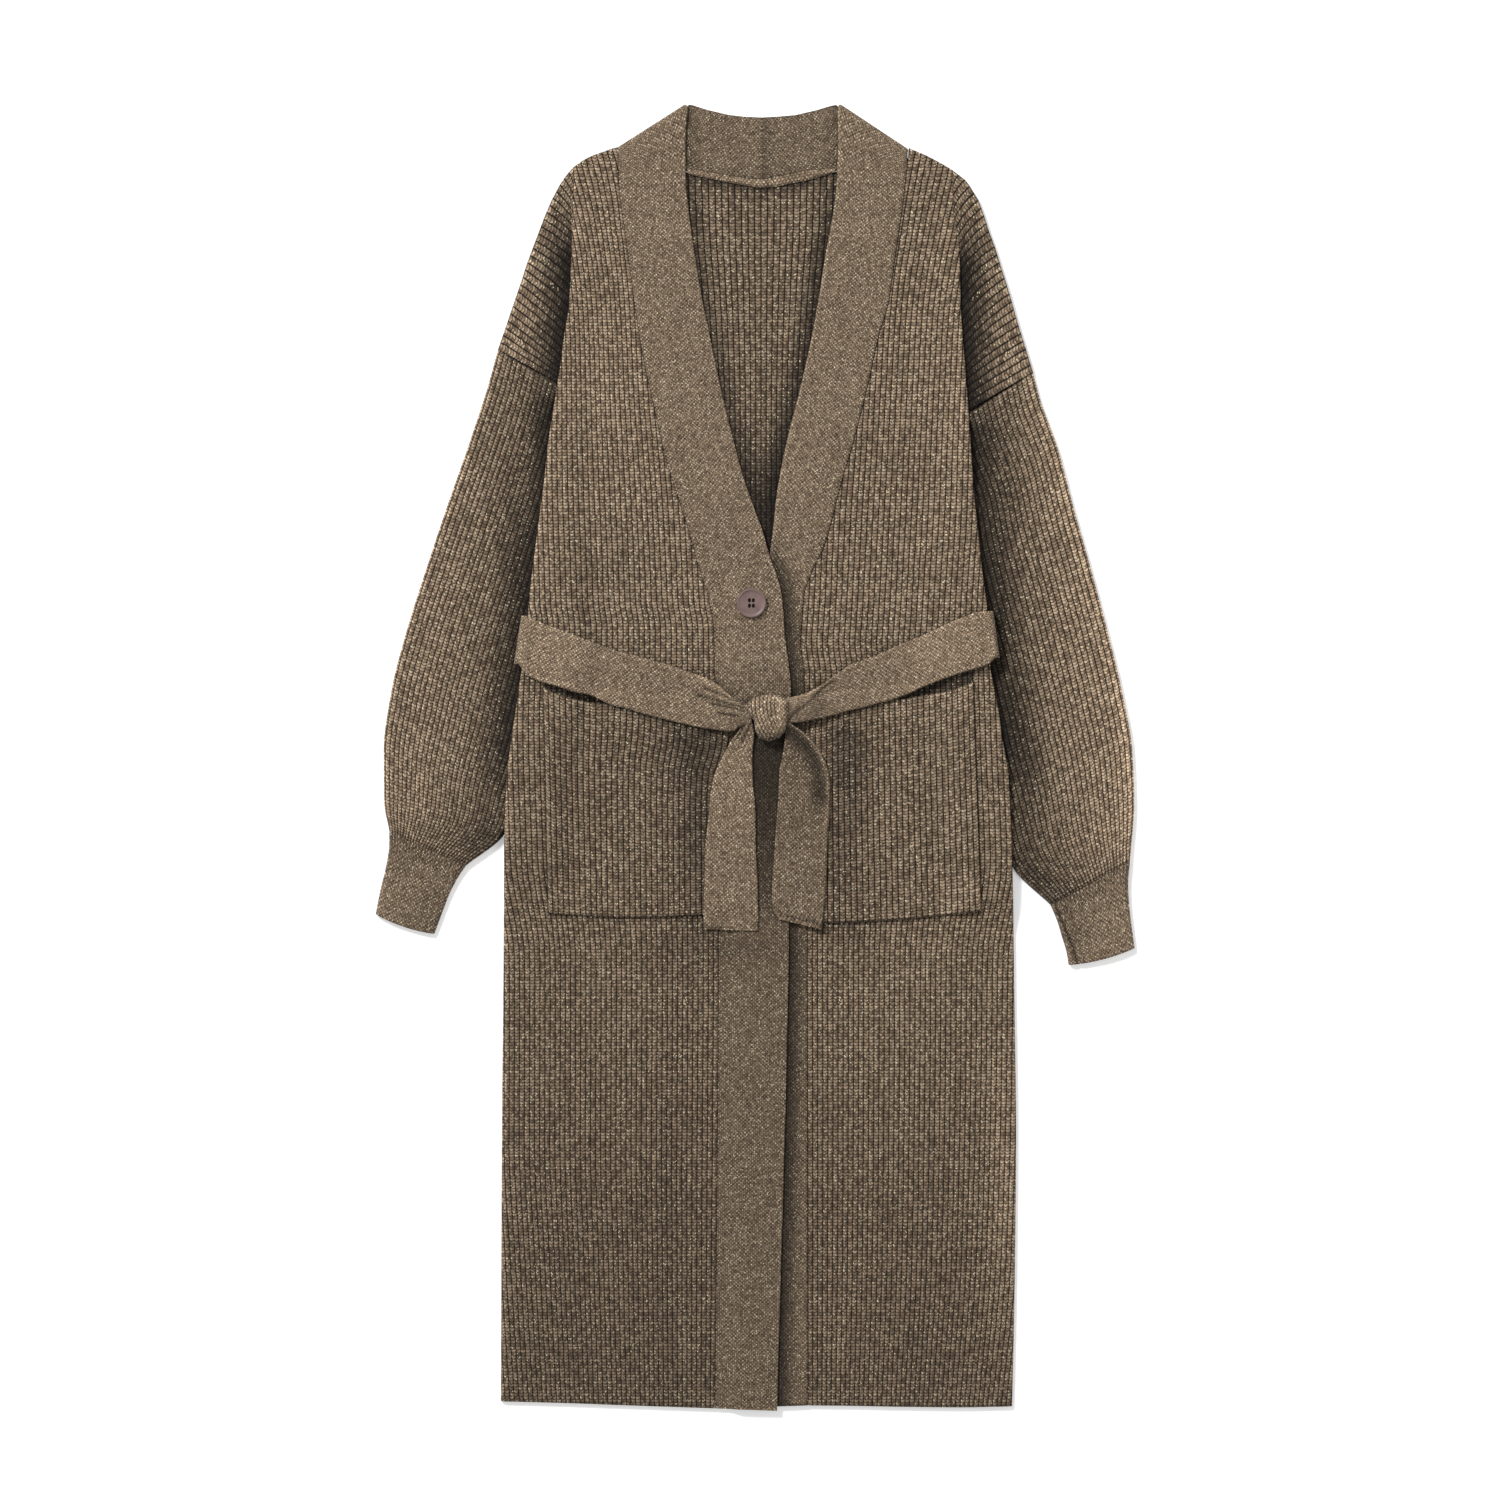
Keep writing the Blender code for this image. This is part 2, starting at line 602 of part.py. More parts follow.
def right_band_under(x, y):
    return band_level(x, y) + lap(x, y)


def make_band(name, left):
    """Front run from the hem, fold over the shoulder, run round the neck."""
    seam, free = (BAND_L_SEAM, BAND_L_FREE) if left else (BAND_R_SEAM, BAND_R_FREE)
    under = band_level if left else right_band_under
    splits = [0, 0.06, 0.35, 0.65, 0.94, 1] if left else [0, 0.06, 0.14, 0.22, 0.3, 0.4, 0.65, 0.94, 1]
    if left:
        ends = [((808, 1405), (745, 1404.5))]
        slants = SLANT_LEFT
        # seam point and top point round the back of the neck
        back = [((882, 163.4), (835.6, 107.3)), ((860, 167.8), (832, 107.8)),
                ((838, 170.6), (827, 108.4)), ((805, 175.8), (800, 114.6)),
                ((780, 180.8), (778, 116.7)), ((762 + GAP, 183.3), (762 + GAP, 117.6))]
        out = (0.587, -0.810)
    else:
        ends = [((715, 1408), (777, 1410))]
        slants = SLANT_RIGHT
        back = [((645, 161), (690, 107.3)), ((668, 167.8), (692.5, 107.5)),
                ((690, 171.8), (699, 108.8)), ((719, 177.4), (724, 114.2)),
                ((742, 181.6), (744, 116.8)), ((762, 183.3), (762, 117.6))]
        out = (-0.538, -0.843)
    pairs = ends + [((seam(y), y), (free(y), y)) for y in BAND_ROWS] + slants
    rows = []

    def section(a, b, low, high):
        top, bottom = [], []
        for s in splits:
            x, y = between(a, b, s)
            edge = s in (0, 1)
            zu, zt = low(x, y), high(x, y)
            if edge:
                top.append((x, y, zu + (zt - zu) * 0.66))
                bottom.append((x, y, zu + (zt - zu) * 0.3))
            else:
                top.append((x, y, zt))
                bottom.append((x, y, zu))
        return top, bottom

    for a, b in pairs:
        rows.append(section(a, b, under, lambda x, y: under(x, y) + PLAIN))
    a, b = pairs[-1]
    high = under(*a) + PLAIN
    mid, big, small = high / 2, high / 2, high / 2 - PLAIN
    for step in range(1, 6):
        turn = math.pi * step / 6
        top, bottom = [], []
        for s in splits:
            x, y = between(a, b, s)
            pinch = 0.34 if s in (0, 1) else 0.0
            for store, r in ((top, big - pinch * PLAIN), (bottom, small + pinch * PLAIN)):
                reach = r * math.sin(turn) / U
                store.append((x + out[0] * reach, y + out[1] * reach, mid + r * math.cos(turn)))
        rows.append((top, bottom))
    for a, b in [pairs[-1]] + back:
        low = section(a, b, lambda x, y: 0.0, lambda x, y: PLAIN)
        rows.append((low[1], low[0]))
    strip(name, rows)


# ---------------------------------------------------------------- neck seam
def make_neck_seam():
    rows = []
    for x0, y0, x1, y1 in NECK_ROLL:
        top = [(x0 + (x1 - x0) * s, y0 + (y1 - y0) * s, PLAIN + SEAM + z)
               for s, z in ((0, 0.7), (0.18, 1.6), (0.5, 2.1), (0.82, 1.6), (1, 0.7))]
        low = [(x0 + (x1 - x0) * s, y0 + (y1 - y0) * s, PLAIN + SEAM)
               for s in (0.03, 0.2, 0.5, 0.8, 0.97)]
        rows.append((top, low))
    strip("neck_seam", rows)


# ------------------------------------------------------------------ sleeves
# outer x, y and inner x, y of each station, height of the top, share of hollow
def sleeve_stations(left):
    if left:
        side, under = SIDE_LEFT, UNDER_LEFT
        outer = [(1033, 374), (1040, 400), (1058, 450), (1074, 510), (1091, 570),
                 (1107, 630), (1121.5, 690), (1132, 750), (1134, 803), (1129.8, 861)]
        inner = [415.6, 446, 510, 566, 625, 690, 755, 820, 866]
        last = (1050.2, 904.6)
    else:
        side, under = SIDE_RIGHT, UNDER_RIGHT
        outer = [(498, 351), (487.5, 388), (467, 450), (446, 510), (426, 570),
                 (407, 630), (391.7, 690), (383.8, 750), (384.3, 800), (389.4, 831)]
        inner = [387.4, 424, 492, 552, 612, 680, 745, 800, 834]
        last = (466.4, 865.4)
    rows = []
    for p, y in zip(outer, inner):
        q = (side(y) + (-1 if left else 1) * under(y), y)
        rows.append((p, q))
    return rows + [(outer[-1], last)]


SLEEVE_HEIGHTS = [5.5, 5.7, 6.8] + [SLEEVE_TOP] * 7


def tube(name, stations, heights, bows, ribs, thick):
    """A flattened open tube.  Each station's top carries ribs; its underside
    is flat on the surface.  bows pushes the middle of an end along the arm."""
    points, faces = [], []
    count = 2 * ribs if ribs else 10
    outer_n = inner_n = None
    rings = []
    for i, ((p, q), high, bow) in enumerate(zip(stations, heights, bows)):
        width = math.dist(p, q)
        ax, ay = (p[1] - q[1]) / width, (q[0] - p[0]) / width
        r = high / 2 / U
        ring = []

        def at(s, z):
            x, y = between(p, q, s)
            b = bow * 4 * s * (1 - s)
            return (x + ax * b, y + ay * b, z)

        edge = r * 0.9 / width
        for k in range(count + 1):
            s = edge + (1 - 2 * edge) * k / count
            ring.append(at(s, high + (RIB if ribs and k % 2 else 0.0)))
        ring.append(at(1 - edge * 0.3, high * 0.80))
        ring.append(at(1, high * 0.42))
        ring.append(at(1 - edge * 0.35, high * 0.12))
        for k in range(4):
            ring.append(at(1 - edge - (1 - 2 * edge) * k / 3, 0.0))
        ring.append(at(edge * 0.35, high * 0.12))
        ring.append(at(0, high * 0.42))
        ring.append(at(edge * 0.3, high * 0.80))
        hollow = []
        t = thick / U / width
        for s in (t * 1.35, 0.35, 0.65, 1 - t * 1.35):
            hollow.append(at(s, high - thick))
        for s in (1 - t, 0.65, 0.35, t):
            hollow.append(at(s, thick))
        rings.append((ring, hollow))
    n, m = len(rings[0][0]), len(rings[0][1])
    step = n + m
    for ring, hollow in rings:
        points += ring + hollow
    for i in range(len(rings) - 1):
        for count_, base in ((n, 0), (m, n)):
            for k in range(count_):
                a, b = i * step + base + k, i * step + base + (k + 1) % count_
                faces.append([a, b, b + step])
                faces.append([a, b + step, a + step])
    tops = 2 * ribs if ribs else 10
    marks = [0, tops // 3, 2 * tops // 3, tops, tops + 4, tops + 5, tops + 6, tops + 7]
    for base in (0, (len(rings) - 1) * step):
        for j in range(m):
            lo, hi = marks[j], marks[(j + 1) % m]
            if hi <= lo:
                hi += n
            for k in range(lo, hi):
                faces.append([base + k % n, base + (k + 1) % n, base + n + j])
            faces.append([base + hi % n, base + n + (j + 1) % m, base + n + j])
    solid(name, points, faces)


def make_sleeve(name, left):
    stations = sleeve_stations(left)
    bows = [0.0] * len(stations)
    heights = SLEEVE_HEIGHTS
    if left:
        stations[0] = ((1033, 373.6), (969.6, 415.4))
    tube(name, stations, heights, bows, SLEEVE_RIBS, WALL)


# outer x, y and inner x, y of each cuff's stations, from the sleeve down
CUFF_RIGHT = [((389.5, 832), (466, 866.4)), ((389.3, 846), (459, 876)), ((385.6, 869), (450, 893)),
              ((380.5, 890), (443, 911)), ((375.8, 914), (434.5, 933.8))]
CUFF_LEFT = [((1129.6, 862.4), (1050.4, 905.6)), ((1128, 884), (1057, 921)), ((1129, 905), (1061.5, 936)),
             ((1131.5, 926), (1066, 951)), ((1134.5, 948), (1068.5, 965))]


def make_cuff(name, rows, side):
    bows = [0, 0, side * 1.0, side * 2.0, side * 3.0]
    tube(name, rows, [7.2, 7.0, 6.8, 6.6, 6.4], bows, 0, WALL)


# ------------------------------------------------------------------ pockets
# corners round each pocket, top edge first
POCKET_RIGHT = [(543.5, 687), (551, 692), (561, 695.4), (571, 698.4), (584, 701.2), (597, 703.5), (612, 703), (640, 706),
                (680, 715), (705, 720), (730, 725), (727, 752), (720, 774), (718, 800), (718, 913),
                (702, 914.7), (660, 916.5), (620, 917), (585, 915.5), (552, 913.4), (548.5, 911),
                (548, 895), (547.6, 866), (547, 838), (546.2, 790), (545, 740)]
POCKET_LEFT = [(972.8, 682), (965, 685.4), (957, 688.3), (948, 690.8), (939, 692.8), (930, 694.5), (905, 698), (880, 699.5), (850, 704),
               (826, 710), (810, 713), (809.5, 760), (809.5, 840), (810, 923), (825, 922.9),
               (860, 922), (906.6, 919), (945, 915), (975, 912), (980.7, 910), (980.2, 895),
               (979.2, 866), (978.2, 838), (976.4, 790), (974.6, 740), (973.3, 700)]


def pocket_under(x, y):
    crossed = lap(x, y) if x < CX else 0.0
    return front_under(x, y) + WALL + RIB + SEAM + 0.1 + 1.2 * slack(x, y) + crossed


def pocket_top(x, y):
    return pocket_under(x, y) + 2.2


def pocket_rib(x, y):
    return pocket_top(x, y) + RIB


def make_pocket(name, corners, left):
    lines = []
    a, b = corners[0], corners[10]
    c, d = (corners[19], corners[13]) if left else (corners[20], corners[14])
    count = POCKET_RIBS_LEFT if left else POCKET_RIBS_RIGHT
    for half in range(1, 2 * count):
        s = half / (2 * count)
        top, low = between(a, b, s), between(c, d, s)
        pts = [between(top, low, t) for t in (-0.1, 0.1, 0.5, 0.75, 1.1)]
        lines.append((pts, pocket_rib if half % 2 else pocket_top))
    guides = guide_lines() + ([] if left else [([(719, 735), (719, 765)], None)])
    wall(name, corners, [0.9] * len(corners), pocket_top, pocket_under, lines, guides)


# --------------------------------------------------------------------- belt
BELT_R = [((526.5, 616), (519, 664)), ((533, 619.4), (527, 674.6)), ((542, 623), (538, 680.6)),
          ((554, 627.6), (549, 684)), ((566, 632), (560, 687)), ((579, 637), (575, 692)),
          ((592, 642), (590, 695)), ((603, 646), (601, 700)), ((615, 650.6), (612, 705)),
          ((626, 653.4), (625, 708)), ((638, 656), (638, 712)), ((652, 660), (651, 715.5)),
          ((666, 664), (664, 719)), ((680, 669), (680, 723)), ((695, 674), (697, 727)),
          ((710, 680), (712, 729.4)), ((719, 686), (722, 730.6)), ((727, 693), (730, 731.2)),
          ((736, 700), (734, 731.2)), ((744.4, 703.6), (737.4, 728))]
BELT_L = [((988, 611.5), (994.6, 658)), ((984, 611.6), (987.6, 664.5)), ((978.6, 612), (980, 667.4)),
          ((970, 614.6), (972.5, 669.8)), ((962.5, 617.6), (965, 671.8)), ((948.7, 623), (949, 677)),
          ((935, 629.6), (935, 682)), ((921, 636), (921, 687.6)), ((910, 640.4), (911, 692.6)),
          ((899, 645), (900, 697)), ((889, 649.6), (887, 701)), ((879, 654), (873, 704.6)),
          ((864, 659.6), (861, 708)), ((850, 664.6), (850, 710.5)), ((841, 671), (841, 713)),
          ((832, 677), (832.7, 715.4)), ((824, 683), (824, 717.4)), ((815.5, 688.6), (813, 719.6)),
          ((800.5, 695), (801, 722.3)), ((789.6, 697.6), (790, 723.2))]
TAIL_R = [((745.8, 711), (749.4, 717.4)), ((743.2, 719), (752.4, 723.6)), ((740.6, 727), (753.6, 728)),
          ((737.2, 732.4), (754.4, 733)), ((731, 741), (753.4, 742)), ((726, 750), (752.5, 752)),
          ((721, 760), (752.4, 762)), ((716, 770), (752.5, 772)), ((712, 785), (753.3, 788)),
          ((710, 799), (754.8, 801)), ((709, 812), (755.5, 815)), ((707, 829), (755.6, 831)),
          ((705.3, 846), (755.7, 848)), ((704.8, 865), (756.8, 866)), ((704.5, 883), (757.6, 884)),
          ((703.6, 900), (758, 900)), ((703.4, 915), (758.2, 914)), ((704.8, 929), (757.6, 930.5))]
TAIL_L = [((786.2, 727.6), (794.5, 726.2)), ((785.3, 733.6), (802, 731.6)), ((784.5, 740), (811, 740)),
          ((783.4, 749), (818, 749)), ((781.6, 759), (824.4, 759.6)), ((779.4, 770), (828, 771)),
          ((778.6, 785), (829.9, 786)), ((778, 801), (829.8, 803)), ((776.6, 816), (828.8, 819)),
          ((775.5, 832), (827.5, 835)), ((774.4, 848), (827, 851)), ((773.5, 865), (826.5, 868)),
          ((772, 882), (825.4, 885)), ((771.8, 896), (824.4, 900)), ((773, 909), (823, 915)),
          ((779, 918.8), (821.7, 929))]
KNOT = [(746.8, 703.6), (749.8, 713.6), (754.3, 721), (755.6, 731.4), (759.6, 738), (768.4, 741.4),
        (778.6, 737.6), (784.2, 732), (787, 723), (788.2, 713), (787.6, 701.4), (780, 696),
        (768.4, 694.2), (754, 698.6)]


def stack(x, y):
    """The highest cloth at a point, below the belt."""
    z = 0.0
    if SIDE_RIGHT(y) <= x <= SIDE_LEFT(y):
        z = front_top(x, y) + RIB
    if BAND_R_SEAM(y) <= x <= BAND_R_FREE(y):
        z = max(z if x < 718 else 0, right_band_under(x, y) + PLAIN)
    elif BAND_R_FREE(y) < x <= BAND_L_SEAM(y):
        z = band_level(x, y) + PLAIN
    for poly in (POCKET_RIGHT, POCKET_LEFT):
        if poly[0][0] - 240 < x < poly[0][0] + 200 and inside((x, y), poly):
            z = max(z, pocket_rib(x, y))
    return z


REST = {}


def drape(x, y):
    """Underside of soft knit that lies over what is below it."""
    best = 0.0
    for i in range(-5, 6):
        for j in range(-5, 6):
            px, py = round((x + i * 2.6) / 1.3) * 1.3, round((y + j * 2.6) / 1.3) * 1.3
            key = (round(px, 2), round(py, 2))
            if key not in REST:
                REST[key] = stack(px, py)
            d2 = ((px - x)**2 + (py - y)**2) * U * U
            best = max(best, REST[key] - d2 / 70)
    return best + 0.7


def belt_rows(pairs, splits, extra=lambda i, s: 0.0, thick=PLAIN):
    rows = []
    for i, (a, b) in enumerate(pairs):
        top, low = [], []
        for s in splits:
            x, y = between(a, b, s)
            z = drape(x, y) + extra(i, s)
            edge = s in (0, 1)
            top.append((x, y, z + thick * (0.66 if edge else 1)))
            low.append((x, y, z + thick * (0.3 if edge else 0)))
        rows.append((top, low))
    return rows


SPLITS = [0, 0.05, 0.35, 0.65, 0.95, 1]
TUCK = 3.0            # how far each front run reaches under the body's side


def make_belt_front(name, pairs, left):
    """A front run: it turns under the body's side and lies on its front."""
    end = len(pairs)

    def extra(i, s):
        gather = smooth((i - (end - 6)) / 5)
        return gather * (5.5 - 2.0 * abs(s - 0.4))

    rows = belt_rows(pairs, SPLITS, extra)
    (a, b) = pairs[0]
    out = 1 if left else -1
    turned = []
    for step in range(0, 6):
        turn = math.pi * (step + 1) / 6
        top, low = [], []
        for k, s in enumerate(SPLITS):
            x, y = between(a, b, s)
            zt, zl = rows[0][0][k][2], rows[0][1][k][2]
            foot = sleeve_lift(x, y)
            edge = s in (0, 1)
            ft = foot + PLAIN * (0.34 if edge else 0)
            fl = foot + PLAIN * (0.7 if edge else 1)
            for store, hi, lo, r in ((top, zt, ft, 4.6), (low, zl, fl, 1.3)):
                mid, half = (hi + lo) / 2, (hi - lo) / 2
                store.append((x + out * r * math.sin(turn), y, mid + half * math.cos(turn)))
        turned.append((top, low))
    last_top, last_low = turned[-1]
    turned.append(([(x - out * TUCK, y, z) for x, y, z in last_top],
                   [(x - out * TUCK, y, z) for x, y, z in last_low]))
    strip(name, turned[::-1] + rows)


def make_belt_back():
    rows = []
    y0, y1 = BELT_Y[0] + 1.0, BELT_Y[1] - 1.0
    tucked = TUCK + 2 * GAP
    upper = [(BELT_R[0][0][0] + tucked, BELT_R[0][0][1])]
    lower = [(BELT_R[0][1][0] + tucked, BELT_R[0][1][1])]
    for line, y in ((upper, y0), (lower, y1)):
        line += [(x, y) for x in ramp_columns(y, False) + [640, 760, 880] + ramp_columns(y, True)[::-1]]
    upper.append((BELT_L[0][0][0] - tucked, BELT_L[0][0][1]))
    lower.append((BELT_L[0][1][0] - tucked, BELT_L[0][1][1]))
    for a, b in zip(upper, lower):
        top, low = [], []
        for s in (0, 0.05, 0.5, 0.95, 1):
            x, y = between(a, b, s)
            z = sleeve_lift(x, y)
            edge = s in (0, 1)
            top.append((x, y, z + PLAIN * (0.7 if edge else 1)))
            low.append((x, y, z + PLAIN * (0.3 if edge else 0)))
        rows.append((top, low))
    strip("belt_back", rows)


def make_tail(name, pairs):
    def extra(i, s):
        return 6.5 * (1 - smooth(i / 5.0))

    strip(name, belt_rows(pairs, [0, 0.06, 0.28, 0.5, 0.72, 0.94, 1], extra))


def make_knot():
    """A rounded lump, its outline lofted up and in."""
    cx = sum(p[0] for p in KNOT) / len(KNOT)
    cy = sum(p[1] for p in KNOT) / len(KNOT)
    pts = along(KNOT + KNOT[:1], 24)[:-1]
    base = max(drape(x, y) for x, y in pts) + 0.2
    rings = [(0.86, 0.0), (0.96, 1.6), (1.0, 4.5), (1.0, 7.5), (0.95, 10.6), (0.84, 13.2),
             (0.62, 15.2), (0.32, 16.3)]
    points, faces = [], []
    for scale, z in rings:
        points += [(cx + (x - cx) * scale, cy + (y - cy) * scale, base + z) for x, y in pts]
    n = len(pts)
    for r in range(len(rings) - 1):
        for i in range(n):
            a, b = r * n + i, r * n + (i + 1) % n
            faces += [[a, b, b + n], [a, b + n, a + n]]
    for r, z in ((0, base), (len(rings) - 1, base + 16.6)):
        points.append((cx, cy, z))
        for i in range(n):
            faces.append([r * n + i, r * n + (i + 1) % n, len(points) - 1])
    solid("belt_knot", points, faces)


# ------------------------------------------------------------------- button
BUTTON = (751.4, 603.4)   # lay-out x, y
BUTTON_R = 13.2           # mm
HOLE_R, HOLE_X, HOLE_Y = 1.15, 1.95, 2.2


def make_button():
    cx, cy = BUTTON
    base = max(right_band_under(cx + i * 4, cy + j * 4) for i in range(-4, 5)
               for j in range(-4, 5)) + PLAIN + SEAM
    thick, dish = 3.4, 0.9

    def ring(r, n, ox=0.0, oy=0.0):
        return [(cx + (ox + r * math.cos(2 * math.pi * k / n)) / U,
                 cy + (oy + r * math.sin(2 * math.pi * k / n)) / U) for k in range(n)]

    def top(x, y):
        r = math.dist((x, y), (cx, cy)) * U
        if r > 12.0:
            return base + thick - 0.5 * smooth((r - 12.0) / 1.0)
        return base + thick - dish * smooth((12.0 - r) / 1.8)

    def under(x, y):
        r = math.dist((x, y), (cx, cy)) * U
        return base + 0.8 * smooth((r - 10.0) / 3.2)

    rim = ring(BUTTON_R, 32)
    holes = [ring(HOLE_R, 8, sx * HOLE_X, sy * HOLE_Y) for sx in (-1, 1) for sy in (-1, 1)]
    points, faces, loops = [], [], []
    for level, circles in ((top, (12.5, 11.7, 10.3)), (under, (10.0,))):
        lines = [(h + h[:1], None) for h in holes]
        lines += [(ring(r, 32) + ring(r, 32)[:1], None) for r in circles]
        p, f, edge = plan_mesh(rim, lines, level)
        base_i = len(points)
        keep = []
        for face in f:
            mx = sum(p[v][0] for v in face) / 3
            my = sum(p[v][1] for v in face) / 3
            if not any(inside((mx, my), h) for h in holes):
                keep.append([v + base_i for v in face])
        faces += keep
        points += p
        found = []
        for h in holes:
            found.append([base_i + min(range(len(p)), key=lambda v: math.dist(p[v][:2], q)) for q in h])
        loops.append(([(place, v + base_i) for place, v in edge], found))
    (rim_a, holes_a), (rim_b, holes_b) = loops
    faces += zipped(rim_a, rim_b, len(rim))
    for ha, hb in zip(holes_a, holes_b):
        for k in range(len(ha)):
            a, b, c, d = ha[k], ha[(k + 1) % len(ha)], hb[(k + 1) % len(hb)], hb[k]
            faces += [[a, b, c], [a, c, d]]
    solid("button", points, faces)


# --------------------------------------------------------------------- build
make_back()
make_front("front_right", False)
make_front("front_left", True)
make_sleeve("sleeve_right", False)
make_sleeve("sleeve_left", True)
make_cuff("cuff_right", CUFF_RIGHT, 1)
make_cuff("cuff_left", CUFF_LEFT, -1)
make_band("band_right", False)
make_band("band_left", True)
make_neck_seam()
make_pocket("pocket_right", POCKET_RIGHT, False)
make_pocket("pocket_left", POCKET_LEFT, True)
make_belt_back()
make_belt_front("belt_front_right", BELT_R, False)
make_belt_front("belt_front_left", BELT_L, True)
make_tail("belt_tail_right", TAIL_R)
make_tail("belt_tail_left", TAIL_L)
make_knot()
make_button()
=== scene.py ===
"""Looks of the belted long cardigan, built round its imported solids.

Plan tables are in lay-out units of U mm: x to the right, y down from the
neck to the hem.  Heights are in mm above the surface it lies on.  A shell
is a pair of grids, its top and its underside, each (rows, columns, 3).
"""
import math

import bpy
import numpy as np
from mathutils import Matrix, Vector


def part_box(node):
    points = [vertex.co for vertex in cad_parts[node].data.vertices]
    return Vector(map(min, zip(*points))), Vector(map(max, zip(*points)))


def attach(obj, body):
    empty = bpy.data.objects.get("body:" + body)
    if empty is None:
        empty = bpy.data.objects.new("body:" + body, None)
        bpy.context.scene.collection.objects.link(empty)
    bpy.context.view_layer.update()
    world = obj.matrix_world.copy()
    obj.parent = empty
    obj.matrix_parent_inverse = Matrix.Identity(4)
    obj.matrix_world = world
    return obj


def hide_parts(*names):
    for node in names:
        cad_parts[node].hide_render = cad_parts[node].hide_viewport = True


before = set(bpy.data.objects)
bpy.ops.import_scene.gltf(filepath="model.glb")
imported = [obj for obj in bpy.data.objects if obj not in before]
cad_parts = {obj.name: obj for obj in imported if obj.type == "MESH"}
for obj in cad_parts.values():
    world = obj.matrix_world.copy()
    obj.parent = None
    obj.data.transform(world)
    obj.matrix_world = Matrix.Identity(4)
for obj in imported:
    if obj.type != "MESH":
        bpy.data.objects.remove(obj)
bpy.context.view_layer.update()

# ---------------------------------------------------------------- named sizes
U = 0.9                # mm for one lay-out unit
CX, CY = 754.5, 757.5  # lay-out point at x = 0, y = 0
WALL = 2.6             # ribbed cloth between its inside and a groove
RIB = 0.9              # how far a rib stands above its grooves
PLAIN = 3.0            # plain knit of the bands and the belt
POCKET = 2.2           # the pockets' ribbed cloth in its grooves
SEAM = 0.3             # between pieces that lie on each other
GAP = SEAM / U
FRONT = WALL + SEAM
LIFT = 8.4             # how far a sleeve lifts the body that lies on it
SLEEVE_TOP = 7.0
FOLD = 4.2             # what the folded shoulder adds at the body's edge
LAP = PLAIN + SEAM
RIBS, RIBS_FLARE, SLEEVE_RIBS = 34, 13, 27
POCKET_RIBS_RIGHT, POCKET_RIBS_LEFT = 31, 29
STITCH = 3.1           # lay-out units along a rib for one stitch
FINE = 1.9             # the same for plain knit, both ways
TURN_STEPS = 12        # rows round an edge where a strip turns back
FRONT_STRIP, BACK_STRIP, TAIL_STRIP = 54, 52, 52  # lay-out units across the belt


# -------------------------------------------------------------------- helpers
def smooth(t):
    t = np.clip(t, 0.0, 1.0)
    return t * t * (3 - 2 * t)


def bump(t):
    """1 at t = 0, falling softly to 0 at t = -1 and 1."""
    return 1 - smooth(np.abs(t))


def rounded(d, r=3.0):
    """0 at an edge, rising as a quarter round to 1 at distance r."""
    return np.sqrt(1 - (1 - np.clip(d / r, 0, 1))**2)


def curve(rows):
    """A smooth f(a) through rows of (a, b) that never overshoots them."""
    a, b = (np.array(column, float) for column in zip(*rows))
    slope = np.diff(b) / np.diff(a)
    turn = slope[:-1] * slope[1:]
    total = np.where(turn > 0, slope[:-1] + slope[1:], 1.0)
    m = np.concatenate([slope[:1], np.where(turn > 0, 2 * turn / total, 0.0), slope[-1:]])

    def f(v):
        v = np.clip(np.asarray(v, float), a[0], a[-1])
        i = np.clip(np.searchsorted(a, v, side="right") - 1, 0, len(a) - 2)
        w = a[i + 1] - a[i]
        t = (v - a[i]) / w
        return ((2 * t**3 - 3 * t**2 + 1) * b[i] + (t**3 - 2 * t**2 + t) * w * m[i]
                + (3 * t**2 - 2 * t**3) * b[i + 1] + (t**3 - t**2) * w * m[i + 1])

    return f


def path(points):
    """f(t), t from 0 to 1, evenly along a polyline in the plan."""
    p = np.array(points, float)
    run = np.concatenate([[0], np.cumsum(np.hypot(*np.diff(p, axis=0).T))])
    return lambda t: np.stack([np.interp(t, run / run[-1], p[:, i]) for i in (0, 1)], -1)


def run_along(points):
    """Distance in the plan from the first point to each, as a column."""
    return np.concatenate([[0], np.cumsum(np.hypot(*np.diff(points, axis=0).T))])[:, None]


def through(points):
    """f(t), t from 0 to len(points) - 1, smoothly through plan points."""
    x = curve([(i, p[0]) for i, p in enumerate(points)])
    y = curve([(i, p[1]) for i, p in enumerate(points)])
    return lambda t: np.stack([x(t), y(t)], -1)


def inside(x, y, poly):
    hit = np.zeros(np.shape(x), bool)
    for a, b in zip(poly, poly[1:] + poly[:1]):
        if a[1] == b[1]:
            continue
        crosses = (a[1] > y) != (b[1] > y)
        hit ^= crosses & (x < a[0] + (y - a[1]) * (b[0] - a[0]) / (b[1] - a[1]))
    return hit


def away(x, y, points):
    """Distance in the plan from a line through the points."""
    best = np.full(np.shape(x), 1e9)
    for (ax, ay), (bx, by) in zip(points, points[1:]):
        dx, dy = bx - ax, by - ay
        t = np.clip(((x - ax) * dx + (y - ay) * dy) / (dx * dx + dy * dy), 0, 1)
        best = np.minimum(best, np.hypot(x - ax - t * dx, y - ay - t * dy))
    return best


def drawn(x, y, points, width):
    """1 on a line in the plan, falling to 0 within about twice the width."""
    return np.exp(-(away(x, y, points) / width)**2)


def rib_profile(k):
    """Height of a rib, 0 in a groove (whole k) and 1 on a crest."""
    return 1 - np.abs(np.cos(np.pi * k))**3


def grid(x, y, z):
    return np.stack(np.broadcast_arrays(x, y, z), -1).astype(float)


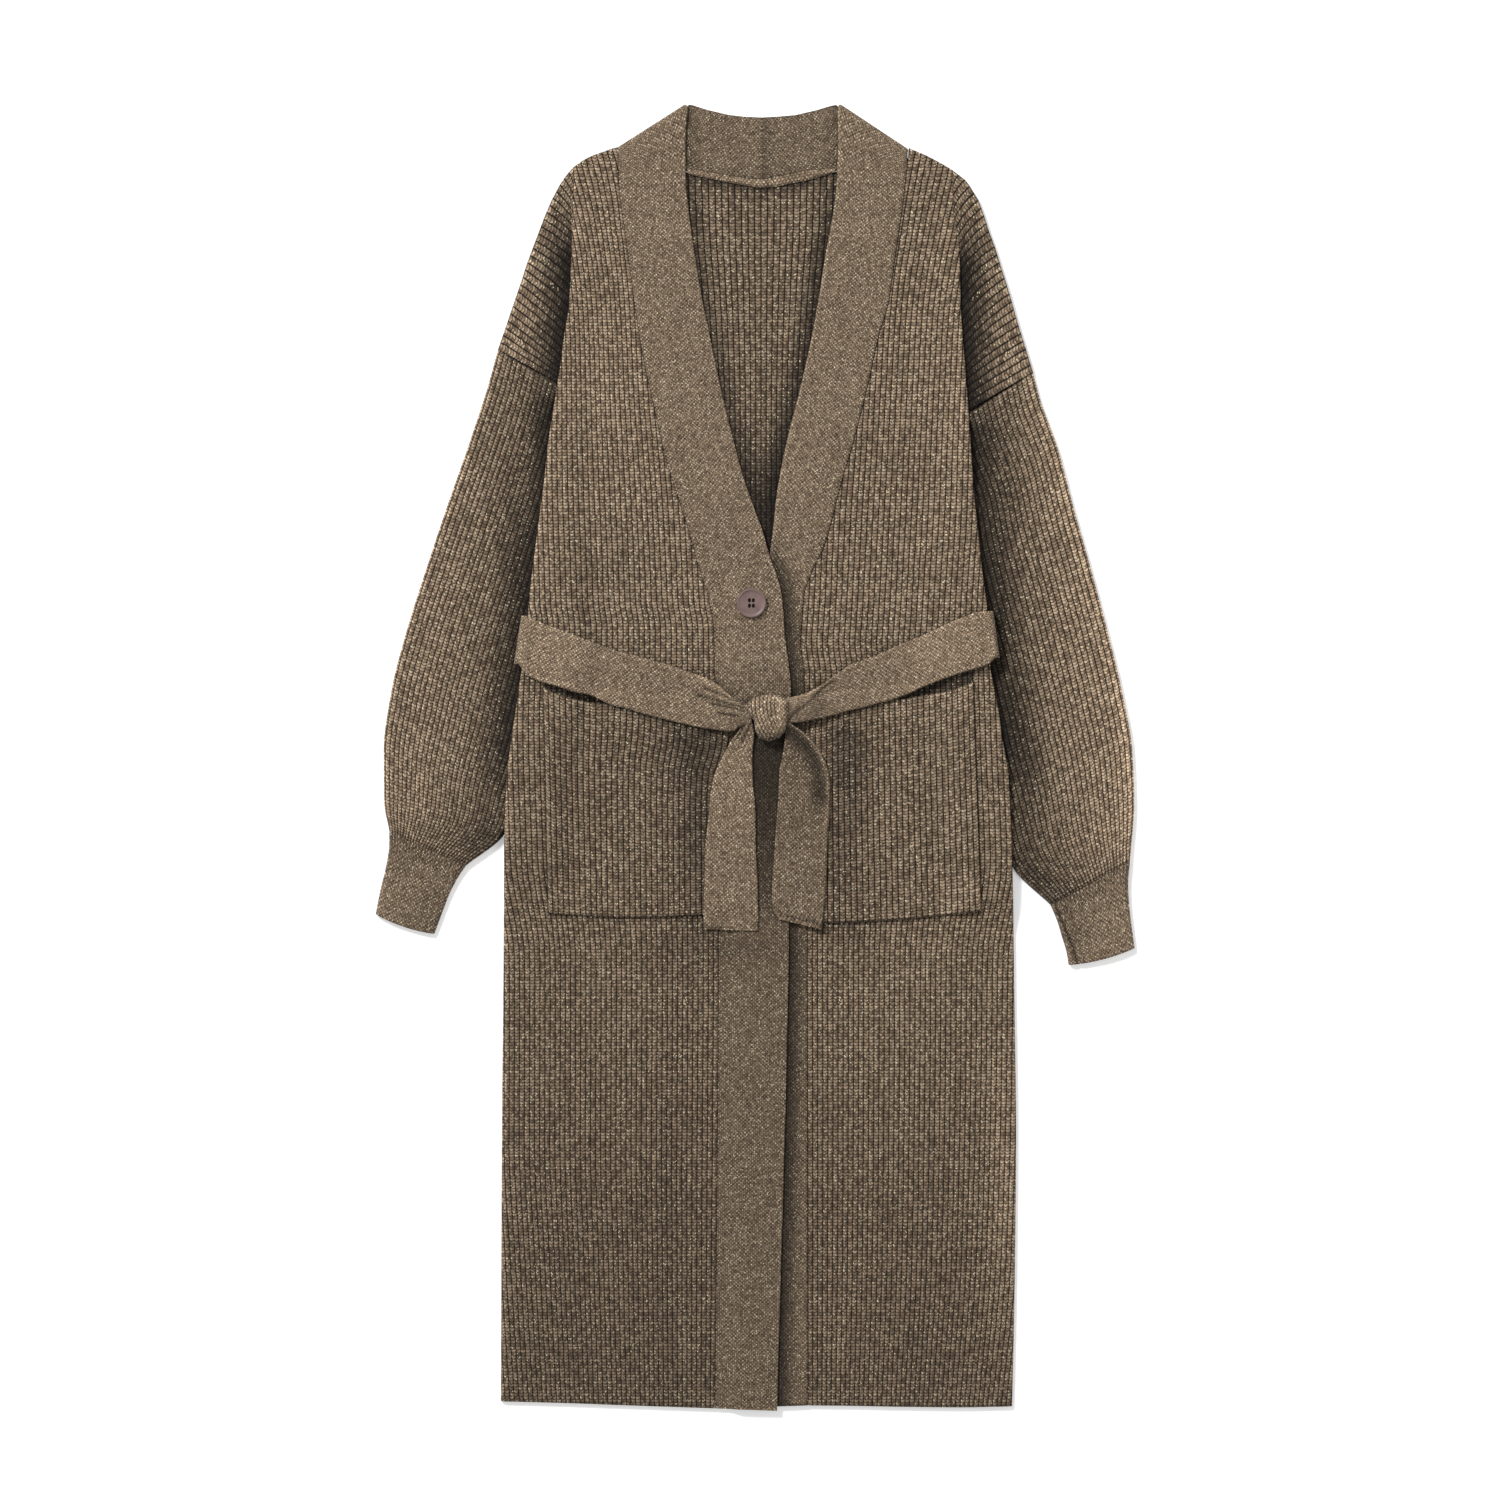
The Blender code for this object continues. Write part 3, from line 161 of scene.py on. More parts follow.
# --------------------------------------------------------------- mesh building
def border(fine, coarse, step):
    """Triangles between a fine edge chain and one of every step-th point."""
    out = []
    for j in range(len(coarse) - 1):
        middle = step * j + step // 2
        for i in range(step * j, step * (j + 1)):
            out.append((fine[i], fine[i + 1], coarse[j] if i < middle else coarse[j + 1]))
        out.append((coarse[j], fine[middle], coarse[j + 1]))
    return out


def quads(index):
    return np.stack([index[:-1, :-1], index[:-1, 1:], index[1:, 1:], index[1:, :-1]], -1).reshape(-1, 4)


def pad_rows(step, *arrays):
    """Repeats each array's last row until a whole number of steps fits."""
    out = []
    for a in arrays:
        over = -(len(a) - 1) % step
        out.append(np.concatenate([a, np.repeat(a[-1:], over, 0)]) if over else a)
    return out


def shell(top, under, u, v, shade=1.0, step=4):
    """A closed sheet: a fine top and a plain underside of every step-th row
    and column.  Returns points, uv, shade, quads and triangles."""
    rows, cols = top.shape[:2]
    u, v, shade = (np.broadcast_to(np.asarray(a, float), (rows, cols)) for a in (u, v, shade))
    fine = np.arange(rows * cols).reshape(rows, cols)
    low = under[::step, ::step]
    coarse = rows * cols + np.arange(low.shape[0] * low.shape[1]).reshape(low.shape[:2])
    points = np.concatenate([top.reshape(-1, 3), low.reshape(-1, 3)])
    uv = np.stack([u, v], -1)
    uv = np.concatenate([uv.reshape(-1, 2), uv[::step, ::step].reshape(-1, 2)])
    dark = np.concatenate([shade.ravel(), shade[::step, ::step].ravel()])
    tris = border(fine[0], coarse[0], step) + [t[::-1] for t in border(fine[-1], coarse[-1], step)]
    tris += [t[::-1] for t in border(fine[:, 0], coarse[:, 0], step)]
    tris += border(fine[:, -1], coarse[:, -1], step)
    return points, uv, dark, np.concatenate([quads(fine), quads(coarse)[:, ::-1]]), np.array(tris)


def tube(outer, inner, u, v, shade=1.0, step=8):
    """A closed hollow sleeve: rings (rows, columns, 3) outside and inside."""
    rows, cols = outer.shape[:2]
    u, v, shade = (np.broadcast_to(np.asarray(a, float), (rows, cols)) for a in (u, v, shade))
    keep = list(range(0, rows - 1, step)) + [rows - 1]
    out = np.arange(rows * cols).reshape(rows, cols)
    ins = rows * cols + np.arange(len(keep) * cols).reshape(len(keep), cols)
    points = np.concatenate([outer.reshape(-1, 3), inner[keep].reshape(-1, 3)])
    uv = np.stack([u, v], -1)
    uv = np.concatenate([uv.reshape(-1, 2), uv[keep].reshape(-1, 2)])
    dark = np.concatenate([shade.ravel(), shade[keep].ravel()])
    near = quads(np.stack([ins[0], out[0]]))
    far = quads(np.stack([out[-1], ins[-1]]))
    faces = np.concatenate([quads(out), quads(ins)[:, ::-1], near, far])
    return points, uv, dark, faces, np.zeros((0, 3), int)


def build(name, parts, material, merge=1e-5):
    """One object of shells; points that fall together become one."""
    points = np.concatenate([p[0] for p in parts])
    uv = np.concatenate([p[1] for p in parts])
    dark = np.concatenate([p[2] for p in parts])
    starts = np.cumsum([0] + [len(p[0]) for p in parts[:-1]])
    four = np.concatenate([p[3] + s for p, s in zip(parts, starts)])
    three = np.concatenate([p[4] + s for p, s in zip(parts, starts)])
    place = np.stack([(points[:, 0] - CX) * U, (CY - points[:, 1]) * U, points[:, 2]], -1) / 1000
    _, first, index = np.unique(np.round(place / merge).astype(np.int64), axis=0,
                                return_index=True, return_inverse=True)
    index = index.reshape(-1)
    a, b, c, d = (index[four[:, i]] for i in range(4))
    whole = (a != b) & (b != c) & (c != d) & (d != a) & (a != c) & (b != d)
    bent = four[~whole]
    three = np.concatenate([three, bent[:, [0, 1, 2]], bent[:, [0, 2, 3]]])
    four = four[whole]
    t = index[three]
    three = three[(t[:, 0] != t[:, 1]) & (t[:, 1] != t[:, 2]) & (t[:, 2] != t[:, 0])]
    _, once = np.unique(np.sort(index[three], axis=1), axis=0, return_index=True)
    three = three[np.sort(once)]
    if len(four):
        q = place[first][index[four]]
        facing = np.cross(q[:, 2] - q[:, 0], q[:, 3] - q[:, 1])[:, 2]
        top = q[:, :, 2].mean(1) > np.median(q[:, :, 2])
        if facing[top].sum() < 0:
            four, three = four[:, ::-1], three[:, ::-1]
    mesh = bpy.data.meshes.new(name)
    faces = index[four].tolist() + index[three].tolist()
    mesh.from_pydata(place[first].tolist(), [], faces)
    corners = np.concatenate([four.reshape(-1), three.reshape(-1)])
    layer = mesh.uv_layers.new(name="UVMap")
    layer.data.foreach_set("uv", uv[corners].astype(np.float32).ravel())
    attribute = mesh.attributes.new("shade", "FLOAT", "POINT")
    attribute.data.foreach_set("value", dark[first].astype(np.float32))
    mesh.shade_smooth()
    mesh.materials.append(material)
    ob = bpy.data.objects.new(name, mesh)
    bpy.context.scene.collection.objects.link(ob)
    return ob


# ------------------------------------------------------------------- materials
class Nodes:
    """A short way to write a node tree."""

    def __init__(self, name):
        self.material = bpy.data.materials.new(name)
        self.material.use_nodes = True
        self.tree = self.material.node_tree
        self.shader = self.tree.nodes["Principled BSDF"]

    def put(self, socket, value):
        if isinstance(value, bpy.types.NodeSocket):
            self.tree.links.new(value, socket)
        else:
            socket.default_value = value

    def add(self, kind, inputs=(), **settings):
        node = self.tree.nodes.new(kind)
        for key, value in settings.items():
            setattr(node, key, value)
        for key, value in dict(inputs).items():
            self.put(node.inputs[key], value)
        return node

    def calc(self, operation, *values):
        return self.add("ShaderNodeMath", enumerate(values), operation=operation).outputs[0]

    def level(self, value, lo, hi, to_lo=0.0, to_hi=1.0):
        node = self.add("ShaderNodeMapRange", {"Value": value, "From Min": lo, "From Max": hi,
                                               "To Min": to_lo, "To Max": to_hi})
        node.interpolation_type = "SMOOTHSTEP"
        return node.outputs[0]

    def pair(self, x, y):
        return self.add("ShaderNodeCombineXYZ", {0: x, 1: y}).outputs[0]

    def chance(self, x, y):
        """A random number for each cell of the plane."""
        cell = self.pair(self.calc("FLOOR", x), self.calc("FLOOR", y))
        return self.add("ShaderNodeTexWhiteNoise", {"Vector": cell}, noise_dimensions="2D").outputs["Value"]

    def noise(self, vector, scale, detail=2.0):
        return self.add("ShaderNodeTexNoise", {"Vector": vector, "Scale": scale, "Detail": detail}).outputs[0]

    def ramp(self, factor, stops):
        node = self.add("ShaderNodeValToRGB", {0: factor})
        while len(node.color_ramp.elements) < len(stops):
            node.color_ramp.elements.new(0.5)
        for element, (place, colour) in zip(node.color_ramp.elements, stops):
            element.position = place
            element.color = (*colour, 1.0)
        return node.outputs[0]

    def mix(self, kind, factor, a, b):
        node = self.add("ShaderNodeMix", data_type="RGBA", blend_type=kind)
        for socket, value in ((node.inputs[0], factor), (node.inputs[6], a), (node.inputs[7], b)):
            self.put(socket, value)
        return node.outputs[2]


# the marled yarn, from its dark strand to its light one
YARN = [(0.0, (0.036, 0.0245, 0.0155)), (0.22, (0.088, 0.061, 0.039)), (0.5, (0.165, 0.117, 0.076)),
        (0.75, (0.27, 0.200, 0.136)), (0.92, (0.42, 0.330, 0.235)), (1.0, (0.60, 0.50, 0.37))]
# the metallic thread's gold, mixed into the colour bright as painted glints
GLINT = (1.0, 0.90, 0.60)


# what the two knits differ in: stitch legs in a rib, shares of stitch and fibre
# in the tint, painted shade and light in a stitch's gap and in a groove, painted
# glints of the metallic thread, and size of the bumps
RIBBED = dict(wobble=0.14, legs=2.0, stitch=0.58, fibre=0.48, base=0.06, drift=0.045,
              gap=(0.04, 1.30), groove=(0.02, 0.42, 0.0, 1.17), sparks=(6.0, 3.2),
              spark=(0.968, 0.984), bump=0.55, depth=0.0007)
FLAT = dict(wobble=0.0, legs=1.0, stitch=0.62, fibre=0.44, base=0.07, drift=0.03,
            gap=(0.62, 1.16), groove=(0.0, 0.6, 0.5, 1.12), sparks=(2.4, 2.4),
            spark=(0.978, 0.99), bump=0.35, depth=0.0004)


def taking_turns(n, leg, row, stitch):
    """Light and dark stitches in turn, so that plain knit's grain stays fine."""
    turn = n.calc("MODULO", n.calc("ADD", n.calc("FLOOR", leg), n.calc("FLOOR", row)), 2.0)
    turn = n.calc("SUBTRACT", n.calc("MULTIPLY", n.calc("ABSOLUTE", turn), 2.0), 1.0)
    other = n.chance(n.calc("ADD", n.calc("MULTIPLY", leg, 1.2), 40.0), n.calc("MULTIPLY", row, 1.2))
    other = n.calc("SUBTRACT", other, 0.5)
    stitch = n.calc("ADD", 0.5, n.calc("MULTIPLY", turn, n.calc("MULTIPLY", stitch, 0.56)))
    return n.calc("ADD", stitch, n.calc("MULTIPLY", other, 0.60))


def knit(name, look):
    """Marled knit with a metallic thread and painted glints.  u counts ribs or fine
    wales, v counts stitches, and the shade attribute multiplies the colour with
    painted shade and painted highlights."""
    n = Nodes(name)
    place = n.add("ShaderNodeUVMap", uv_map="UVMap").outputs[0]
    split = n.add("ShaderNodeSeparateXYZ", {0: place})
    u, v = split.outputs[0], split.outputs[1]
    crest = n.calc("SUBTRACT", n.calc("MULTIPLY", n.calc("FRACT", u), 2.0), 1.0)
    crest = n.calc("SUBTRACT", 1.0, n.calc("ABSOLUTE", crest))
    wobble = n.calc("MULTIPLY", n.noise(place, 0.30, 1.0), look["wobble"])
    row = n.calc("ADD", n.calc("SUBTRACT", v, n.calc("MULTIPLY", crest, 0.45)), wobble)
    bead = n.calc("SINE", n.calc("MULTIPLY", n.calc("FRACT", row), math.pi))
    leg = n.calc("MULTIPLY", u, look["legs"])
    stitch = n.chance(leg, row)
    if look is FLAT:
        stitch = taking_turns(n, leg, row, stitch)
    fibre = n.noise(place, 3.1, 3.0)
    drift = n.calc("SUBTRACT", n.noise(place, look["drift"], 3.0), 0.5)
    tint = n.calc("ADD", n.calc("MULTIPLY", stitch, look["stitch"]), n.calc("MULTIPLY", fibre, look["fibre"]))
    tint = n.calc("ADD", n.calc("SUBTRACT", tint, look["base"]), n.calc("MULTIPLY", drift, 0.12))
    colour = n.ramp(tint, YARN)
    # painted shade and light: stitch gaps and rib grooves darken the yarn, stitch beads and crests lighten
    # it, and the shade attribute multiplies it
    gap = n.level(bead, 0.05, 0.66, *look["gap"])
    groove = n.level(crest, *look["groove"])
    painted_shade_and_light = n.add("ShaderNodeAttribute", attribute_name="shade").outputs["Fac"]
    dark = n.calc("MULTIPLY", n.calc("MULTIPLY", gap, groove), painted_shade_and_light)
    grey = n.add("ShaderNodeCombineColor", {0: dark, 1: dark, 2: dark}).outputs[0]
    colour = n.mix("MULTIPLY", 1.0, colour, grey)
    # painted glints: specks of the metallic thread take a bright gold colour and less roughness, hidden where
    # the painted shade is dark
    across, along = look["sparks"]
    spark = n.chance(n.calc("MULTIPLY", u, across), n.calc("MULTIPLY", v, along))
    spark = n.calc("MULTIPLY", n.level(spark, *look["spark"]), n.level(dark, 0.1, 0.5))
    colour = n.mix("MIX", n.calc("MULTIPLY", spark, 0.6), colour, (*GLINT, 1.0))
    n.put(n.shader.inputs["Base Color"], colour)
    n.put(n.shader.inputs["Roughness"], n.calc("SUBTRACT", 0.92, n.calc("MULTIPLY", spark, 0.5)))
    n.shader.inputs["Specular IOR Level"].default_value = 0.2
    n.shader.inputs["Sheen Weight"].default_value = 0.12
    n.shader.inputs["Sheen Roughness"].default_value = 0.5
    height = n.calc("ADD", n.calc("MULTIPLY", bead, n.calc("ADD", n.calc("MULTIPLY", crest, 0.7), 0.3)),
                    n.calc("MULTIPLY", fibre, 0.35))
    lumps = n.add("ShaderNodeBump", {"Height": height, "Strength": look["bump"], "Distance": look["depth"]})
    n.put(n.shader.inputs["Normal"], lumps.outputs[0])
    return n.material


def plastic(name, colour):
    """Swirled, slightly cloudy button plastic."""
    n = Nodes(name)
    place = n.add("ShaderNodeTexCoord").outputs["Object"]
    cloud = n.noise(place, 90.0, 4.0)
    dark = tuple(c * 0.82 for c in colour)
    light = tuple(min(1.0, c * 1.2) for c in colour)
    n.put(n.shader.inputs["Base Color"], n.ramp(cloud, [(0.3, dark), (0.7, light)]))
    n.put(n.shader.inputs["Roughness"], n.level(cloud, 0.3, 0.7, 0.42, 0.55))
    n.shader.inputs["Specular IOR Level"].default_value = 0.35
    return n.material


def thread(name, colour):
    n = Nodes(name)
    place = n.add("ShaderNodeTexCoord").outputs["Object"]
    twist = n.noise(place, 2500.0, 2.0)
    shades = [(0.3, tuple(c * 0.6 for c in colour)), (0.7, colour)]
    n.put(n.shader.inputs["Base Color"], n.ramp(twist, shades))
    n.shader.inputs["Roughness"].default_value = 0.85
    return n.material


def paper(name):
    """The plain pale surface it lies on."""
    n = Nodes(name)
    place = n.add("ShaderNodeTexCoord").outputs["Object"]
    grain = n.noise(place, 40.0, 3.0)
    shades = [(0.3, (0.93, 0.93, 0.93)), (0.7, (0.95, 0.95, 0.95))]
    n.put(n.shader.inputs["Base Color"], n.ramp(grain, shades))
    n.shader.inputs["Roughness"].default_value = 0.95
    n.shader.inputs["Specular IOR Level"].default_value = 0.1
    n.shader.inputs["Emission Color"].default_value = (1.0, 1.0, 1.0, 1.0)
    n.shader.inputs["Emission Strength"].default_value = 0.3
    return n.material


RIB_KNIT = knit("rib_knit_marl", RIBBED)
PLAIN_KNIT = knit("plain_knit_marl", FLAT)
BUTTON_PLASTIC = plastic("button_swirl", (0.165, 0.108, 0.099))
# thread near black, as painted shade in the button's holes
THREAD_HOLE_SHADE = thread("thread_with_hole_shade", (0.006, 0.004, 0.0035))

# ------------------------------------------------- the body's edges in plan
# y, x of the body's side, and above it of the fold at the dropped shoulder
SIDE_RIGHT = curve([(150, 574), (167, 574), (207, 572.3), (245, 572), (270, 571), (308, 569),
                    (329, 565.5), (350, 562.5), (370, 560), (387, 557), (408, 554), (430, 550.5),
                    (452, 547.5), (480, 544.5), (530, 538), (590, 530.6), (612, 528.7),
                    (672, 521.7), (698, 518), (724, 514), (780, 507), (818, 505.4), (850, 504.5),
                    (980, 503.5), (1135, 502), (1402, 501)])
SIDE_LEFT = curve([(150, 951.5), (170, 952), (220, 955), (245, 959), (310, 960.7), (361, 964.5),
                   (412, 968.3), (480, 972.5), (535, 978), (590, 984.3), (601, 986), (666, 989.5),
                   (688, 993.5), (710, 998), (730, 1000.6), (790, 1009.7), (850, 1011.5),
                   (923, 1013.3), (980, 1014), (1135, 1016), (1225, 1015.3), (1315, 1014),
                   (1405, 1012)])
# y, x of each band's seam to its front and of its free edge
BAND_R_SEAM = curve([(165, 618), (181, 618.6), (195, 620), (243, 626.6), (310, 635.5), (355.5, 643),
                     (404, 653.4), (458, 666), (515, 684), (570, 700), (585, 705), (605, 710),
                     (630, 714), (660, 714.5), (930, 718.6), (1408, 715)])
BAND_R_FREE = curve([(104, 686), (174, 685.3), (213, 689), (281.5, 699), (335, 709.5), (394, 722),
                     (445, 734.5), (480, 744), (530, 762), (554, 769), (571, 775), (591, 781),
                     (610, 783), (638, 785), (660, 788), (690, 791), (930, 789), (1410, 777)])
BAND_L_SEAM = curve([(154, 908.4), (202, 903), (253.5, 895.6), (304.5, 888), (335, 879), (386, 867.6),
                     (447, 852), (480, 842), (547, 824), (567, 814), (596, 804), (621, 802),
                     (642, 800.5), (674, 804), (934, 807), (1405, 808)])
BAND_L_FREE = curve([(104, 839.5), (174, 837.7), (195, 835.7), (264, 824), (325, 814), (394, 798.7),
                     (440, 787), (475, 780), (500, 776), (530, 773), (556, 769), (576, 760),
                     (594, 748), (612, 744), (650, 744), (800, 745), (1405, 745)])
# y, how far a sleeve's hidden edge lies inside the body's side
UNDER_RIGHT = curve([(387, 1.2), (462, 1.6), (480, 2.4), (520, 12), (570, 20), (625, 27), (695, 29),
                     (760, 24), (805, 9), (824, 2), (836, -0.7)])
UNDER_LEFT = curve([(412, 1.2), (478, 1.6), (500, 3.2), (540, 14), (590, 24), (640, 28), (710, 29),
                    (780, 25), (835, 10), (858, 2), (871, -0.7)])
# y, how far in from its side the body lies level on the sleeve
REACH_RIGHT = curve([(462, 4), (520, 16), (570, 25), (625, 31), (695, 32), (930, 32)])
REACH_LEFT = curve([(478, 4), (500, 7), (540, 18), (590, 28), (640, 31), (710, 32), (960, 32)])
# y, share of the sleeve's lift at the body's side
RISE_RIGHT = curve([(392, 0), (462, 1), (838, 1), (895, 0)])
RISE_LEFT = curve([(414, 0), (478, 1), (873, 1), (930, 0)])
# y, share of the folded shoulder's height
FOLD_RIGHT = curve([(207, 0), (232, 0.6), (262, 1), (387, 1), (440, 0.6), (480, 0)])
FOLD_LEFT = curve([(214, 0), (242, 0.6), (274, 1), (414, 1), (455, 0.6), (492, 0)])
BELT_Y = (611.0, 665.0)
BELT_RAMP = 28.0


def side_of(x, y):
    """(depth inside the body's side, level reach, sleeve rise, fold share)"""
    right = x < CX
    return (np.where(right, x - SIDE_RIGHT(y), SIDE_LEFT(y) - x),
            np.where(right, REACH_RIGHT(y), REACH_LEFT(y)),
            np.where(right, RISE_RIGHT(y), RISE_LEFT(y)),
            np.where(right, FOLD_RIGHT(y), FOLD_LEFT(y)))


def sleeve_lift(x, y):
    d, reach, rise, _ = side_of(x, y)
    return LIFT * rise * (1 - smooth((d - reach) / 42))


def slack(x, y):
    r = sleeve_lift(x, y) / LIFT
    return 4 * r * (1 - r)


def lift(x, y):
    """Height of the back's underside above the surface."""
    lo, hi = BELT_Y
    strip = np.clip(1 - np.maximum(lo - y, y - hi) / BELT_RAMP, 0, 1)
    return sleeve_lift(x, y) + strip * (PLAIN + SEAM + 0.7 * slack(x, y))


def front_under(x, y):
    return lift(x, y) + FRONT + slack(x, y)


def front_top(x, y):
    d, _, _, fold = side_of(x, y)
    return front_under(x, y) + WALL + np.where(d < -0.6, 0, FOLD * fold * (1 - smooth(d / 38)))


# y, how light the ribs are: painted light at the chest falling to painted shade at
# the hem, partly the ribs stretched open at the chest and closer at the hem
RIB_LIGHT_AND_STRETCH = curve([(150, 1.06), (260, 1.14), (420, 1.12), (560, 1.06), (720, 0.92), (1000, 0.82),
              (1250, 0.66), (1405, 0.62)])


# painted light and shade on the ribs by height, with the left front painted darker at the chest and lighter
# lower down
def rib_light_and_stretch(x, y):
    return RIB_LIGHT_AND_STRETCH(y) * (1 + (0.20 * smooth((y - 560) / 260) - 0.07) * smooth((x - 700) / 120))


# painted light and painted shade in soft patches on the cloth: centre x, y, half width, half height, change
PAINTED_LIGHT_PATCHES = [(692, 748, 34, 36, -0.46), (704, 832, 26, 90, -0.50), (848, 762, 24, 52, -0.55),
        (842, 862, 22, 66, -0.38), (735, 948, 90, 15, -0.30), (612, 568, 56, 46, -0.16),
        (668, 1180, 11, 240, -0.16), (915, 1340, 13, 85, -0.18), (1002, 1190, 14, 120, 0.30),
        (963, 898, 20, 20, 0.30), (600, 878, 46, 36, 0.14), (480, 838, 30, 14, -0.36),
        (1046, 880, 32, 16, -0.40), (1066, 922, 9, 26, -0.30), (1000, 1200, 26, 140, 0.16),
        (504, 1250, 10, 160, 0.16), (703, 736, 26, 16, -0.20), (836, 734, 22, 14, -0.25),
        (848, 930, 26, 12, -0.25), (1124, 720, 16, 150, 0.22), (690, 922, 18, 8, -0.2),
        (505, 530, 13, 80, -0.22), (529, 490, 10, 55, 0.50), (1012, 490, 13, 70, -0.16),
        (1026, 760, 14, 55, -0.18), (506, 818, 8, 24, 0.3), (430, 914, 16, 22, -0.24),
        (1078, 942, 14, 26, -0.20), (420, 775, 16, 60, 0.12), (384, 885, 8, 40, 0.15),
        (962, 345, 9, 90, 0.30), (562, 708, 30, 16, 0.28), (962, 702, 26, 16, 0.28),
        (745, 560, 30, 50, -0.10)]


def soft_light(x, y):
    out = np.ones(np.shape(x))
    for cx, cy, rx, ry, change in PAINTED_LIGHT_PATCHES:
        out = out * (1 + change * np.exp(-((x - cx) / rx)**2 - ((y - cy) / ry)**2))
    return out


# ------------------------------------------------------------- the silhouette
SHOULDER_RIGHT = [(617.3, 151.2), (602, 152.6), (588, 158), (574, 167), (566, 176), (560, 185),
                  (552, 200), (545, 216), (539, 232), (533, 248), (527, 264), (522, 280),
                  (516.5, 296), (511, 312), (505, 330), (498, 350)]
SHOULDER_LEFT = [(908.5, 157.2), (924, 155.6), (938, 162), (952, 170), (966, 181), (978, 200),
                 (984, 216), (989, 232), (995, 248), (1000, 264), (1005, 280), (1010, 296),
                 (1015, 314), (1020, 331), (1026, 350), (1033, 373)]
ARMHOLE_RIGHT = [(498, 350), (556.2, 386)]
ARMHOLE_LEFT = [(1033, 373), (969, 414.5)]
SLANT_RIGHT = [((619, 180), (685.8, 176)), ((618.2, 164), (685.4, 143)), ((618.8, 151.4), (687.8, 107.4))]
SLANT_LEFT = [((905.5, 180), (837.6, 175)), ((907, 166), (838, 142)), ((906.8, 153.0), (837.6, 107.2))]
HEM_RIGHT = curve([(501, 1401), (560, 1402.5), (615, 1404.5), (672, 1406.5), (715, 1408)])
HEM_LEFT = curve([(808, 1405), (855, 1405.5), (905, 1406.5), (960, 1407), (1012, 1406)])

# ------------------------------------------------------------------ the ribs
WAIST = 605.0
LEAN_RIGHT = curve([(130, 559), (160, 569.5), (200, 580.7), (240, 589.4), (280, 595.2), (320, 598.6),
                    (360, 600.3), (400, 601.5), (480, 604.9), (560, 608.5), (605, 610.2)])
LEAN_LEFT = curve([(130, 950), (160, 943.5), (200, 934.8), (240, 927), (280, 920), (320, 915.4),
                   (360, 913), (440, 908.8), (520, 904.6), (605, 899.7)])
PITCH_RIGHT = curve([(160, 5.9), (200, 5.4), (240, 4.85), (320, 4.65), (400, 4.8), (440, 5.0),
                     (520, 5.25), (605, 5.3), (740, 5.5), (860, 5.45), (960, 5.1), (1140, 5.08),
                     (1260, 4.9), (1405, 4.65)])
PITCH_LEFT = curve([(160, 6.2), (200, 5.9), (240, 5.6), (280, 5.45), (320, 5.3), (440, 5.35),
                    (520, 5.5), (605, 5.42), (740, 5.45), (860, 5.55), (960, 5.15), (1080, 5.1),
                    (1260, 4.95), (1405, 4.6)])
BACK_PITCH = curve([(180, 6.6), (235, 6.4), (285, 5.92), (345, 5.46), (400, 5.2), (560, 5.1)])
BACK_MIDDLE = 761.0


def rib_line(y, left):
    """(x of rib 0, step from rib to rib) at height y of a front."""
    lean, pitch, seam = ((LEAN_LEFT, PITCH_LEFT, BAND_L_SEAM) if left
                         else (LEAN_RIGHT, PITCH_RIGHT, BAND_R_SEAM))
    inwards = -1 if left else 1
    middle = RIBS - abs(seam(WAIST) - lean(WAIST)) / pitch(WAIST)
    start = np.where(y >= WAIST, seam(y) - inwards * RIBS * pitch(y), lean(y) - inwards * middle * pitch(y))
    return start, inwards * pitch(y)


def rib_number(x, y, left):
    start, step = rib_line(y, left)
    return (x - start) / step


# ---------------------------------------------------------------- the fronts
EDGE = np.array([0, 0.4, 0.9, 1.6, 2.5, 3.5])


